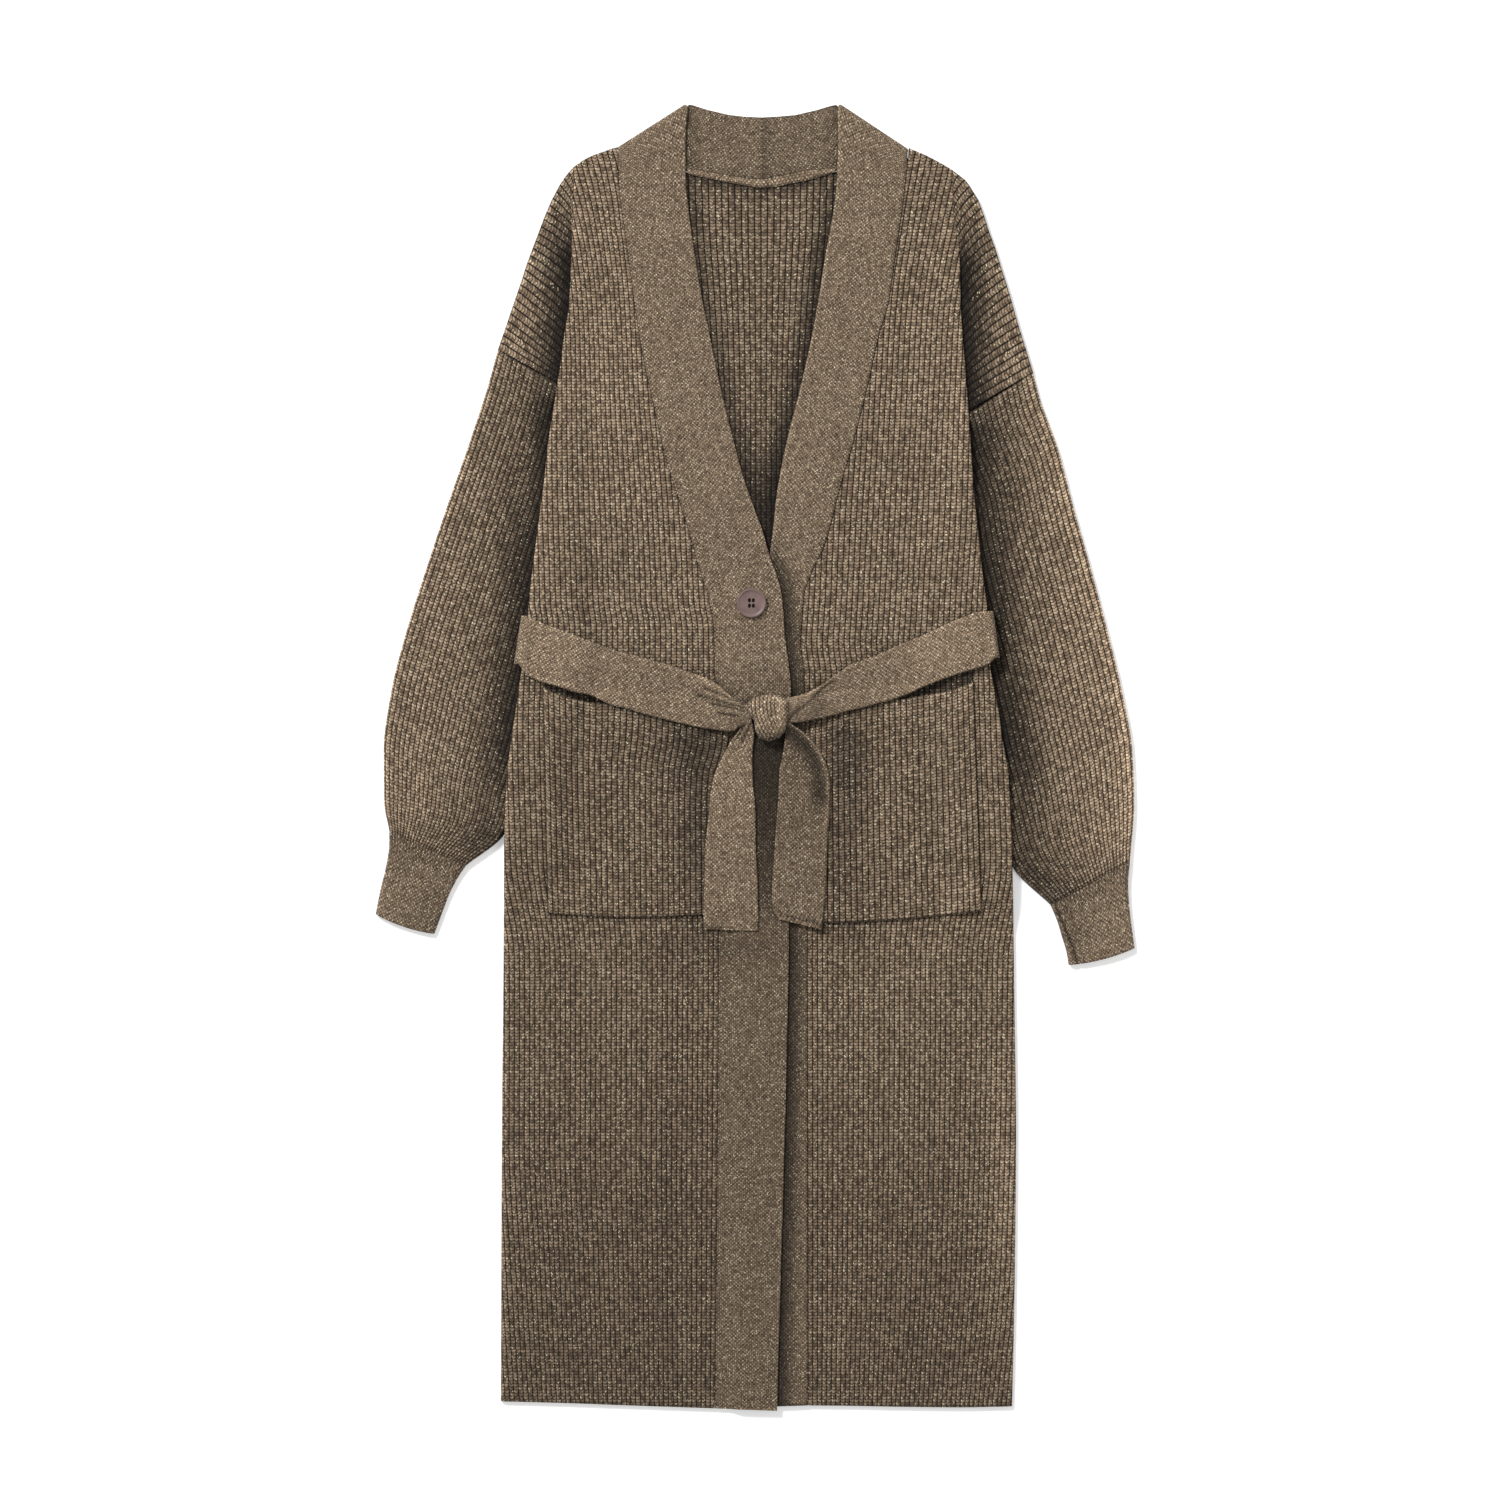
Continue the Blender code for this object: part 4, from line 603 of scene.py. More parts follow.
def make_front(name, left):
    inwards = -1 if left else 1
    side, seam, hem, fold = ((SIDE_LEFT, BAND_L_SEAM, HEM_LEFT, FOLD_LEFT) if left
                             else (SIDE_RIGHT, BAND_R_SEAM, HEM_RIGHT, FOLD_RIGHT))
    shoulder = SHOULDER_LEFT if left else SHOULDER_RIGHT
    roof = curve([(908, 148.0), (913, 150.2), (924, 154.8), (938, 162), (952, 170)] if left
                 else [(574, 167), (588, 158), (602, 152.6), (611, 149.3), (618, 147.4)])
    rows = np.concatenate([np.zeros(3), np.linspace(148, 988, 169), np.linspace(995, 1408, 62), np.zeros(3)])
    ks = np.arange(-RIBS_FLARE, RIBS + 0.51, 0.25)
    tail = np.array([0.9, 0.0])
    ks = np.concatenate([ks, np.full(-(len(EDGE) + len(ks) + 1) % 4, ks[-1])])
    cols = len(EDGE) + len(ks) + 2
    want = np.repeat(rows[:, None], cols, 1)

    def place(y):
        start, step = rib_line(y[:, 6:-2], left)
        rib = start + step * ks
        near = inwards * (side(y[:, 6:-2]) + inwards * 4.2)
        far = inwards * (seam(y[:, 6:-2]) - inwards * (GAP + 1.5))
        rib = inwards * np.clip(inwards * rib, near, far)
        return np.concatenate([side(y[:, :6]) + inwards * EDGE, rib,
                               seam(y[:, -2:]) - inwards * (GAP + tail)], 1)

    y = np.clip(want, 152, 1404)
    for _ in range(4):
        x = place(y)
        top_y, hem_y = roof(x), hem(x)
        y = np.clip(want, top_y + 4.0, hem_y - 4.2)
        for i, e in enumerate((0.0, 0.8, 2.0)):
            y[i] = top_y[i] + e
            y[-1 - i] = hem_y[-1 - i] - e
    x = place(y)
    d_side = inwards * (x - side(y))
    d_seam = inwards * (seam(y) - x) - GAP
    d_top, d_hem = y - roof(x), hem(x) - y
    folded = fold(y)
    under = front_under(x, y) + folded * 3.7 * (1 - smooth((d_side - 7) / 14))
    roll = (1 - rounded(d_side, 4.5)) * (1 - folded)
    under = under - roll * (FRONT - 1.0)
    thick = front_top(x, y) + roll * -(FRONT - 1.6) - under
    open_top = np.where(y < 215, 1 - smooth((215 - y) / 12), 1.0)
    blunt = 1 - (1 - rounded(d_side, 3.6)) * open_top
    edge = blunt * rounded(d_top, 3.0) * rounded(d_hem, 3.0)
    k = rib_number(x, y, left)
    relief = RIB * rib_profile(k) * smooth((d_side - 2.4 * open_top) / 2.5 + 1 - open_top)
    relief = relief * smooth(d_seam / 1.6) * smooth((d_hem - 1.2) / 2.5) * smooth((d_top - 0.6) / 2)
    z = under + thick * (0.42 + 0.58 * edge) + relief - 0.5 * (1 - smooth(d_seam / 1.4))
    # painted shade by the band seam and along the folded side, the ribs' painted light and shade, painted
    # shade from what lies on the front, the patches of painted light and shade, and a painted highlight along
    # the body's side below the fold
    shade = (0.86 + 0.14 * smooth(d_seam / 3)) * rib_light_and_stretch(x, y)
    shade = shade * (1 - 0.12 * smooth(1 - d_side / 3) * folded) * laid_over(x, y, left)
    shade = shade * soft_light(x, y) * (1 + 0.42 * smooth(1 - d_side / 6) * (1 - folded))
    main = shell(grid(x, y, z), grid(x, y, under), k, y / STITCH, shade)
    drop = make_drop(left, shoulder, side, fold)
    return build(name, [main, drop], RIB_KNIT)


# height on the shoulder's rim, height at which its rib meets the body's fold
RUN_RIGHT = curve([(167, 175), (176, 190), (200, 223.6), (234.7, 266), (269, 313), (300, 348),
                   (321.6, 370), (337.6, 380), (350, 386.5)])
RUN_LEFT = curve([(170, 178), (185, 205), (200, 231), (216, 256), (253, 301), (288.6, 343),
                  (318, 368), (336.4, 382), (355, 398), (373, 414.5)])


def laid_over(x, y, left):
    """Shade on a front from the pocket, belt and slit that lie on it."""
    pocket, belt = (POCKET_LEFT, BELT_L) if left else (POCKET_RIGHT, BELT_R)
    outer = pocket[:1] + pocket[20 if left else 19:][::-1]
    foot = pocket[14 if left else 13:20]
    shade = 1 - 0.50 * drawn(x, y, outer, 2.0) * (y > pocket[0][1]) - 0.45 * drawn(x, y, foot, 3.2)
    below = [b for a, b in belt]
    shade = shade * (1 - 0.40 * smooth(1 - away(x, y, below) / 9) * (y > 640))
    above = [a for a, b in belt]
    shade = shade * (1 - 0.22 * smooth(1 - away(x, y, above) / 6))
    mouth, low = (curve(sorted(points)) for points in (pocket[:9], below))
    opening = smooth((y - low(x) + 4) / 6) * smooth((mouth(x) + 5 - y) / 4)
    if left:
        ends = smooth((x - 888) / 14) * smooth((976 - x) / 5)
    else:
        ends = smooth((x - 543) / 5) * smooth((616 - x) / 14)
    return shade * (1 - 0.74 * opening * ends)


def make_drop(left, shoulder, side, fold):
    """The dropped shoulder, from its rim to under the body's fold."""
    inwards = -1 if left else 1
    rim = path(shoulder[3:])
    ribs = 27 if left else 26
    along = np.linspace(0, 1, 4 * ribs + 1)
    foot_y = (RUN_LEFT if left else RUN_RIGHT)(rim(along)[:, 1])
    foot_x = side(foot_y) + inwards * (0.4 + 7.0 * fold(foot_y))
    foot = np.stack([foot_x, foot_y], -1)
    t = np.concatenate([[0, 0.008, 0.02, 0.036, 0.055], np.linspace(0.08, 1, 20)])[:, None, None]
    p = rim(along)[None] * (1 - t) + foot[None] * t
    bow = (4 * t * (1 - t))[..., 0] * (3.4 if left else 1.6) * np.sin(math.pi * along[None])
    x, y = p[..., 0] + inwards * bow, p[..., 1] - bow
    reach = np.hypot(*(rim(along) - foot).T)
    d_rim = t[..., 0] * reach[None] + 0 * x
    span = np.hypot(*np.subtract(shoulder[3], shoulder[-1]))
    d_end = (1 - along)[None] * span + 0 * x
    k = along[None] * ribs + 0 * x
    edge = rounded(d_rim, 3.0) * (0.4 + 0.6 * rounded(d_end, 2.2))
    relief = RIB * 1.1 * rib_profile(k) * smooth((d_rim - 1.0) / 2.5)
    z = FRONT + WALL * (0.42 + 0.58 * edge) + relief
    z = z - 0.3 * fold(y) * smooth((d_rim - reach[None] + 14) / 14)
    past = inwards * (side(y) - x)
    # painted shade in the valley under the body's fold and a painted highlight along the rim
    shade = (1 - 0.93 * fold(y) * smooth(1 - past / 46)) * (0.80 + 0.26 * smooth(past / 46))
    shade = shade * (1 + 0.22 * smooth(1 - d_rim / 9))
    return shell(grid(x, y, z), grid(x, y, FRONT), k, d_rim / STITCH, shade)


# ------------------------------------------------------------------ the back
NECK_ROLL = [(687.4, 168.8, 687.8, 174.4), (703, 171.4, 703, 177.6), (719, 174, 719, 181),
             (733, 176.4, 733, 183.6), (747, 178.5, 747, 186), (761, 179.4, 761, 188),
             (776, 176.8, 776, 187), (790, 173.8, 790, 184), (805, 171, 805, 181),
             (820, 169.3, 820, 177), (835, 168.2, 834.6, 173)]
NECK_BACK = [(588, 158), (602, 152.6), (618.4, 152.6), (632, 156.9), (650, 164), (668, 169), (690, 173),
             (719, 178.6), (742, 182.8), (762, 184.4), (781, 181.8), (805, 176.8), (838, 171.6),
             (860, 169), (882, 164.5), (895, 161.2), (906.9, 158.6), (924, 155.8), (938, 162)]


def make_back():
    def silhouette(shoulder, armhole, side, first):
        rows = [(y, x) for x, y in shoulder[2:]] + [(armhole[1][1], armhole[1][0])]
        rows += [(y, float(side(y)) + first) for y in (395, 430, 480)[1 if armhole[1][1] > 400 else 0:]]
        ys, xs = zip(*rows)
        return lambda y: np.where(y > ys[-1], side(y) + first, np.interp(y, ys, xs))

    right = silhouette(SHOULDER_RIGHT, ARMHOLE_RIGHT, SIDE_RIGHT, 3.2)
    left = silhouette(SHOULDER_LEFT, ARMHOLE_LEFT, SIDE_LEFT, -3.2)
    neck = curve(NECK_BACK)
    rows = np.concatenate([np.linspace(150, 562, 93), np.linspace(580, 1404, 48)])
    ks = np.arange(-13.5, 13.51, 0.25)
    sides = np.concatenate([[0, 0.006, 0.016, 0.03], np.linspace(0.06, 1, 11)[:-1]])
    y = np.repeat(rows[:, None], len(ks) + 2 * len(sides), 1)
    spare = -(y.shape[1] - 1) % 4
    for _ in range(3):
        pitch = BACK_PITCH(y[:, len(sides):len(sides) + len(ks)])
        middle = BACK_MIDDLE + ks * pitch
        a = right(y[:, :len(sides)])
        b = left(y[:, -len(sides):])
        lo, hi = middle[:, :1], middle[:, -1:]
        x = np.concatenate([a + (lo - a) * sides, middle, b + (hi - b) * sides[::-1]], 1)
        roof = np.where((x > 587) & (x < 939), neck(x), 150)
        hem = 1399.5 + 5 * smooth((x - 520) / 180)
        y = np.clip(np.repeat(rows[:, None], x.shape[1], 1), roof, hem)
    if spare:
        x = np.concatenate([x, np.repeat(x[:, -1:], spare, 1)], 1)
        y = np.concatenate([y, np.repeat(y[:, -1:], spare, 1)], 1)
    under = lift(x, y)
    k = (x - BACK_MIDDLE) / BACK_PITCH(y)
    shown = smooth((x - BAND_R_FREE(y) - 0.6) / 2.2) * smooth((BAND_L_FREE(y) - x - 0.6) / 2.2)
    roll = curve([(r[2], r[3]) for r in NECK_ROLL])
    shown = shown * smooth((y - roll(x) - 1.0) / 2.5) * (y < 556)
    d_edge = np.minimum(x - right(y), left(y) - x)
    edge = rounded(d_edge, 3.0)
    z = under + WALL * (0.45 + 0.55 * edge) + RIB * rib_profile(k) * shown
    # painted shade beside the front bands' free edges and below the neck roll, deepening towards the foot of
    # the V and in a line just below the roll; the whole back painted a little darker
    near = np.minimum(np.minimum(x - BAND_R_FREE(y), BAND_L_FREE(y) - x), (y - roll(x)) * 1.2)
    shade = 0.40 + 0.60 * smooth(near / 26 + 0.10)
    shade = shade * (1 - 0.45 * smooth(1 - (BAND_L_FREE(y) - x) / 26) * smooth((y - 190) / 60))
    shade = shade * (1 - 0.62 * smooth((y - 380) / 130)) * 0.84
    shade = shade * (1 - 0.45 * smooth(1 - (y - roll(x)) / 4))
    beside = 1 - smooth((np.where(x < CX, UNDER_RIGHT(y), UNDER_LEFT(y)) - 1.6) / 1.6)
    hang = 0.94 * sleeve_lift(x, y) * beside * (1 - smooth((d_edge - 1.0) / 6))
    rise = under + WALL * 0.4 * (1 - edge) - hang
    data = shell(grid(x, y, z), grid(x, y, np.minimum(rise, z - 0.4)), k, y / STITCH, shade)
    return build("back_cloth", [data], RIB_KNIT)


# ----------------------------------------------------------------- the bands
def band_level(x, y):
    return lift(x, y) + FRONT + 1.0 * (1 - smooth((y - 185) / 50))


def lap(x, y):
    edge = np.minimum(np.minimum(BAND_L_FREE(y), BAND_L_FREE(y + 14)), BAND_L_FREE(y + 26))
    return LAP * smooth((x - (edge - 18)) / 12) * smooth((y - 470) / 55)


def right_band_under(x, y):
    return band_level(x, y) + lap(x, y)


def resampled(pairs, per):
    """Smooth rows of (seam point, free point) through the given pairs."""
    a, b = through([p[0] for p in pairs]), through([p[1] for p in pairs])
    t = np.linspace(0, len(pairs) - 1, (len(pairs) - 1) * per + 1)
    return a(t), b(t)


# y, light that reaches the band between the belt's hanging ends
BETWEEN = curve([(700, 0.5), (735, 0.20), (770, 0.21), (800, 0.25), (860, 0.38), (915, 0.66), (938, 1)])


def make_band(name, left):
    seam, free = (BAND_L_SEAM, BAND_L_FREE) if left else (BAND_R_SEAM, BAND_R_FREE)
    base = band_level if left else right_band_under
    if left:
        first, slants, out = ((808, 1405), (745, 1404.5)), SLANT_LEFT, (0.587, -0.810)
        back = [((882, 163.4), (836.2, 105.0)), ((860, 167.8), (832, 105.8)), ((838, 170.6), (826, 107.4)),
                ((805, 175.8), (800, 114.6)), ((780, 180.8), (778, 116.7)),
                ((762.05, 183.3), (762.05, 117.6))]
    else:
        first, slants, out = ((715, 1408), (777, 1410)), SLANT_RIGHT, (-0.538, -0.843)
        back = [((645, 161), (689, 104.9)), ((668, 167.8), (693, 105.4)), ((690, 171.8), (699, 107.4)),
                ((719, 177.4), (724, 114.2)), ((742, 181.6), (744, 116.8)), ((762, 183.3), (762, 117.6))]
    ys = np.concatenate([[1405, 1402, 1398], np.arange(1392, 186, -6.0)])
    a = np.concatenate([[first[0]], np.stack([seam(ys), ys], -1)])
    b = np.concatenate([[first[1]], np.stack([free(ys), ys + (np.maximum(ys - 1392, 0) * 0.15)], -1)])
    sa, sb = resampled(slants, 5)
    a, b = np.concatenate([a, sa]), np.concatenate([b, sb])
    width = 72.0
    s = np.concatenate([[0, 0.5, 1.2, 2.2, 3.5], np.linspace(6, width - 6, 19),
                        width - np.array([3.5, 2.2, 1.2, 0.5, 0])]) / width
    s = s[None]
    across = np.hypot(*(b - a).T)[:, None]

    def lay(p, q, low, thick, puff=0.0):
        x = p[:, :1] + (q[:, :1] - p[:, :1]) * s
        y = p[:, 1:] + (q[:, 1:] - p[:, 1:]) * s
        w = np.hypot(*(q - p).T)[:, None]
        d = np.minimum(s, 1 - s) * w
        edge = rounded(d, 3.2)
        z = low(x, y)
        crown = puff * smooth(d / 16)
        return grid(x, y, z + thick * (0.48 + 0.52 * edge) + crown), grid(x, y, z + thick * 0.46 * (1 - edge))

    top, low = lay(a, b, base, PLAIN, 0.25)
    hem = smooth(np.arange(len(a)) / 3.0)[:, None]
    top[..., 2] = low[..., 2] + (top[..., 2] - low[..., 2]) * (0.5 + 0.5 * hem)
    ends_top, ends_low = top[-1:], low[-1:]
    high = float(base(*a[-1])) + PLAIN
    rings_top, rings_low = [], []
    for step in range(1, TURN_STEPS):
        turn = math.pi * step / TURN_STEPS
        for store, src, r in ((rings_top, ends_top, high / 2), (rings_low, ends_low, high / 2 - PLAIN)):
            pinch = 0.34 * PLAIN * (1 - rounded(np.minimum(s, 1 - s) * width, 3.2))
            r_here = r - pinch if src is ends_top else r + pinch
            reach = r_here * math.sin(turn) / U
            ring = src.copy()
            ring[..., 0] += out[0] * reach
            ring[..., 1] += out[1] * reach
            ring[..., 2] = high / 2 + r_here * math.cos(turn)
            store.append(ring)
    ba, bb = resampled([(tuple(a[-1]), tuple(b[-1]))] + back, 5)
    flat_top, flat_low = lay(ba, bb, lambda x, y: 0 * x, PLAIN)
    top = np.concatenate([top] + rings_top + [flat_low])
    low = np.concatenate([low] + rings_low + [flat_top])
    lengths = np.concatenate([across, np.repeat(across[-1:], TURN_STEPS - 1, 0),
                              np.hypot(*(bb - ba).T)[:, None]])
    middle = top[:, len(s[0]) // 2, :2]
    run = np.concatenate([[0], np.cumsum(np.hypot(*np.diff(middle, axis=0).T) + 0.4)])[:, None]
    top, low, run, lengths = pad_rows(4, top, low, run, lengths)
    x, y = top[..., 0], top[..., 1]
    # painted light and shade: the right band's shadow on the left band, darker towards the hem, a painted
    # highlight along the free edge, and painted shade by the seam and on the right band's lower part
    shade = np.ones(top.shape[:2])
    if left:
        shade = 1 - 0.85 * smooth((y - 520) / 60) * smooth(1 - (x - BAND_R_FREE(y)) / 24)
        shade = shade * (1 - 0.16 * smooth((y - 940) / 40))
    d_free = (1 - s) * lengths
    shade = shade * soft_light(x, y)
    shade = shade * (1 + 0.34 * bump((d_free - 1.0) / 2.6)) * (0.8 + 0.2 * smooth(s * lengths / 2.5))
    shade = shade * (1 - (0.0 if left else 0.24) * smooth((y - 640) / 120))
    # painted shade on the part behind the neck, with dark painted rib lines at the middle of the back and
    # beside the front bands' edges, then painted shade along the belt and between its hanging ends
    behind = (run > run[len(a) + 9]) * 1.0
    rib = np.cos(2 * math.pi * (x - 759) / 4.2)
    shade = shade * (1 - behind * (0.16 + 0.22 * (rib < -0.2) * smooth((10 - np.abs(x - 759)) / 2)))
    shade = shade * (1 - 0.38 * behind * smooth(1 - np.minimum(x - 687, 838 - x) / 18))
    above = [p for p, q in BELT_R] + [p for p, q in BELT_L[::-1]]
    shade = shade * (1 - 0.30 * smooth(1 - away(x, y, above) / 10))
    shade = shade * (1 - (1 - BETWEEN(y)) * smooth((x - 742) / 5) * smooth((792 - x) / 5) * (y > 700))
    return build(name, [shell(top, low, s * lengths / FINE, run / FINE, shade)], PLAIN_KNIT)


def make_neck_seam():
    rows = np.array(NECK_ROLL, float)
    t = np.linspace(0, len(rows) - 1, 121)
    cols = [curve([(i, r[c]) for i, r in enumerate(rows)])(t) for c in range(4)]
    s = np.linspace(0, 1, 13)[None]
    x = cols[0][:, None] * (1 - s) + cols[2][:, None] * s
    y = cols[1][:, None] * (1 - s) + cols[3][:, None] * s
    run = np.concatenate([[0], np.cumsum(np.hypot(np.diff(cols[0]), np.diff(cols[1])))])[:, None]
    arch = np.sqrt(np.clip(1 - (2 * s - 1)**2, 0, 1))
    cord = 0.28 * np.sin(2 * math.pi * (run / 3.1 + s * 0.9)) * arch
    lump = 0.7 * bump((x - 767) / 8)
    z = PLAIN + SEAM + 0.6 + (1.5 + lump) * arch + cord
    low = PLAIN + SEAM + 0.4 * (1 - arch)
    # painted shade at the roll's edges and painted light on its crest, striped along the cord's twist
    shade = 0.45 + 0.85 * arch * (0.88 + 0.24 * np.sin(2 * math.pi * (run / 3.1 + s * 0.9)))
    data = shell(grid(x, y, z), grid(x, y, low), s * 3.6, run / FINE, shade)
    return build("neck_seam_roll", [data], PLAIN_KNIT)


# ------------------------------------------------------------------- sleeves
def sleeve_ends(left):
    if left:
        side, under = SIDE_LEFT, UNDER_LEFT
        outer = [(1033, 373.1), (1040, 400), (1058, 450), (1074, 510), (1091, 570), (1107, 630),
                 (1121.5, 690), (1132, 750), (1134, 803), (1129.8, 861)]
        inner = [414.6, 446, 510, 566, 625, 690, 755, 820, 866]
        last = (1050.2, 904.6)
    else:
        side, under = SIDE_RIGHT, UNDER_RIGHT
        outer = [(498, 350.1), (487.5, 388), (467, 450), (446, 510), (426, 570), (407, 630), (391.7, 690),
                 (383.8, 750), (384.3, 800), (389.4, 831)]
        inner = [386.2, 424, 492, 552, 612, 680, 745, 800, 834]
        last = (466.4, 865.4)
    toward = -1 if left else 1
    return outer, [(float(side(y)) + toward * float(under(y)), y) for y in inner] + [last]


def ring_surface(p, q, high, ribs, bow, relief_of, thin, pitch=1.0):
    """Outer and inner rings of a flattened tube between edges p and q."""
    wide = np.hypot(*(q - p).T)[:, None]
    count = np.maximum.accumulate(wide) / pitch
    axis = np.stack([p[:, 1] - q[:, 1], q[:, 0] - p[:, 0]], -1) / wide
    r = high * 0.62 / U
    edge = np.array([0, 0.06, 0.18, 0.38, 0.66])
    steps = 4 * ribs if ribs else 120
    over = np.linspace(0, 1, steps + 1)
    below = np.linspace(1, 0, 13)
    s, z = [], []
    for e in edge:
        s.append(e * r / wide)
        z.append(high * (0.42 + 0.58 * rounded(np.full_like(wide, e), 1.0)))
    for o in over:
        s.append((r + (wide - 2 * r) * o) / wide)
        z.append(high + 0 * wide)
    for e in edge[::-1]:
        s.append(1 - e * r / wide)
        z.append(high * (0.42 + 0.58 * rounded(np.full_like(wide, e), 1.0)))
    for e in edge[1:]:
        s.append(1 - e * r / wide)
        z.append(high * 0.42 * (1 - rounded(np.full_like(wide, e), 1.0)))
    for o in below:
        s.append((r + (wide - 2 * r) * o) / wide)
        z.append(0 * wide)
    for e in edge[:0:-1]:
        s.append(e * r / wide)
        z.append(high * 0.42 * (1 - rounded(np.full_like(wide, e), 1.0)))
    s, z = (np.concatenate(a + a[:1], 1) for a in (s, z))
    k = s * count + 0.55
    push = bow * 4 * s * (1 - s)
    x = p[:, :1] * (1 - s) + q[:, :1] * s + axis[:, :1] * push
    y = p[:, 1:] * (1 - s) + q[:, 1:] * s + axis[:, 1:] * push
    on_top = z > high * 0.6
    z = z + np.where(on_top, relief_of(x, y, s, k), 0.0)
    t = thin / U / wide
    si = np.clip(s, t, 1 - t)
    zi = np.where(z > high * 0.42, high - thin, thin)
    xi = p[:, :1] * (1 - si) + q[:, :1] * si + axis[:, :1] * push
    yi = p[:, 1:] * (1 - si) + q[:, 1:] * si + axis[:, 1:] * push
    return grid(x, y, z), grid(xi, yi, zi), s, k, wide


def make_sleeve(name, left):
    outer, inner = sleeve_ends(left)
    side = SIDE_LEFT if left else SIDE_RIGHT
    toward = -1 if left else 1
    t = np.linspace(0, len(outer) - 1, 8 * 11 + 1)
    p, q = through(outer)(t), through(inner)(t)
    high = np.interp(t, [0, 1, 2], [5.5, 5.7, 6.8])[:, None]
    run = run_along((p + q) / 2)

    def relief(x, y, s, k):
        hidden = smooth((toward * (x - side(y)) + 6) / 6)
        d = np.minimum(s, 1 - s) * np.hypot(*(q - p).T)[:, None]
        wave = 0.9 * np.sin(run / 31 + 5 * s) * np.sin(run / 57 - 3 * s + 1) - 0.5
        wave = wave * smooth(d / 12) * smooth(run / 40) * smooth((run[-1] - run) / 20)
        return (RIB * rib_profile(k) * smooth((d - 1.0) / 3) + wave * (1 - hidden)
                - 0.4 * (1 - smooth(run / 2.5)))

    top, hollow, s, k, wide = ring_surface(p, q, high, SLEEVE_RIBS, 0.0, relief, WALL, 5.75 if left else 5.2)
    x, y = top[..., 0], top[..., 1]
    # painted shade where the body lies over the sleeve, lighter away from it and at the lower end, a painted
    # highlight along the outer edge, and painted shade in the left sleeve's crease, at the armhole seam and
    # in the grooves where the ribs gather into the cuff
    near = toward * (side(y) - x)
    wide_dark, top_dark = (58, 396) if left else (50, 368)
    shade = 1 - 0.86 * smooth(1 - near / wide_dark)**1.3 * smooth((y - top_dark) / 36)
    shade = 1 - (1 - shade) * (1 - 0.55 * smooth((y - 740) / 70))
    rim_light, rim_wide = (0.42, 20) if left else (0.30, 12)
    shade = shade * soft_light(x, y) * (1 + rim_light * smooth(1 - s * wide / rim_wide))
    shade = shade * (0.78 + (0.58 if left else 0.34) * smooth((near - 15) / 80))
    if left:
        shade = shade * (1 - 0.4 * drawn(x, y, [(1012, 857), (1030, 868), (1040, 875), (1051, 887)], 1.6))
    shade = shade * (0.72 + 0.28 * smooth(run / 3))
    shade = shade * (1 - 0.55 * (1 - rib_profile(k)) * smooth(1 - (run[-1] - run) / 34))
    return build(name, [tube(top, hollow, k, run / STITCH, shade)], RIB_KNIT)


CUFF_CREASE = [(1045, 891), (1054.5, 903), (1065, 929), (1073, 947.5), (1077.5, 964)]
CUFF_RIGHT = [((389.5, 831.2), (466.2, 865.6)), ((389.3, 846), (459, 876)), ((385.6, 869), (450, 893)),
              ((380.5, 890), (443, 911)), ((375.8, 914), (434.5, 933.8))]
CUFF_LEFT = [((1129.7, 861.2), (1050.2, 904.8)), ((1128, 884), (1057, 921)), ((1129, 905), (1061.5, 936)),
             ((1131.5, 926), (1066, 951)), ((1134.5, 948), (1068.5, 965))]


def make_cuff(name, rows, left):
    t = np.linspace(0, 4, 8 * 6 + 1)
    p, q = through([r[0] for r in rows])(t), through([r[1] for r in rows])(t)
    high = np.interp(t, [0, 4], [7.2, 6.4])[:, None]
    run = run_along((p + q) / 2)
    bow = np.interp(t, [0, 1, 4], [0, 0, -3 if left else 3])[:, None]

    def relief(x, y, s, k):
        wide = np.hypot(*(q - p).T)[:, None]
        d = np.minimum(s, 1 - s) * wide
        end = -0.9 * (1 - rounded(run[-1] - run, 3.0)) - 0.5 * (1 - smooth(run / 2.2))
        fold = -1.1 * drawn(x, y, CUFF_CREASE, 1.8) if left else 0.0
        puff = 0.3 * smooth(d / 14) * np.sin(run / 13 + 7 * s)
        return end + fold * smooth(run / 8) + puff

    top, hollow, s, k, wide = ring_surface(p, q, high, 0, bow, relief, WALL)
    # painted shade in the gathers at the cuff's top, the left cuff painted lighter and the right darker, and
    # painted shade in the left cuff's crease
    gather = (0.5 + 0.5 * np.cos(2 * math.pi * s * 25))**2 * smooth(1 - run / (34 + 10 * np.sin(40 * s)))
    shade = (1 - 0.72 * gather) * (1.08 if left else 0.92) * soft_light(top[..., 0], top[..., 1])
    if left:
        shade = shade * (1 - 0.72 * drawn(top[..., 0], top[..., 1], CUFF_CREASE, 1.3))
    return build(name, [tube(top, hollow, s * wide / FINE, run / FINE, shade)], PLAIN_KNIT)


# ------------------------------------------------------------------- pockets
POCKET_RIGHT = [(543.5, 687), (551, 692), (561, 695.4), (571, 698.4), (584, 701.2), (597, 703.5), (612, 703),
                (640, 706), (680, 715), (705, 720), (730, 725), (727, 752), (720, 774), (718, 800),
                (718, 913), (702, 914.7), (660, 916.5), (620, 917), (585, 915.5), (552, 913.4),
                (548.5, 911), (548, 895), (547.6, 866), (547, 838), (546.2, 790), (545, 740)]
POCKET_LEFT = [(972.8, 682), (965, 685.4), (957, 688.3), (948, 690.8), (939, 692.8), (930, 694.5), (905, 698),
               (880, 699.5), (850, 704), (826, 710), (810, 713), (809.5, 760), (809.5, 840),
               (810, 923), (825, 922.9), (860, 922), (906.6, 919), (945, 915), (975, 912),
               (980.7, 910), (980.2, 895), (979.2, 866), (978.2, 838), (976.4, 790), (974.6, 740),
               (973.3, 700)]


def pocket_under(x, y):
    crossed = np.where(x < CX, lap(x, y), 0.0)
    return front_under(x, y) + WALL + RIB + SEAM + 0.1 + 1.2 * slack(x, y) + crossed


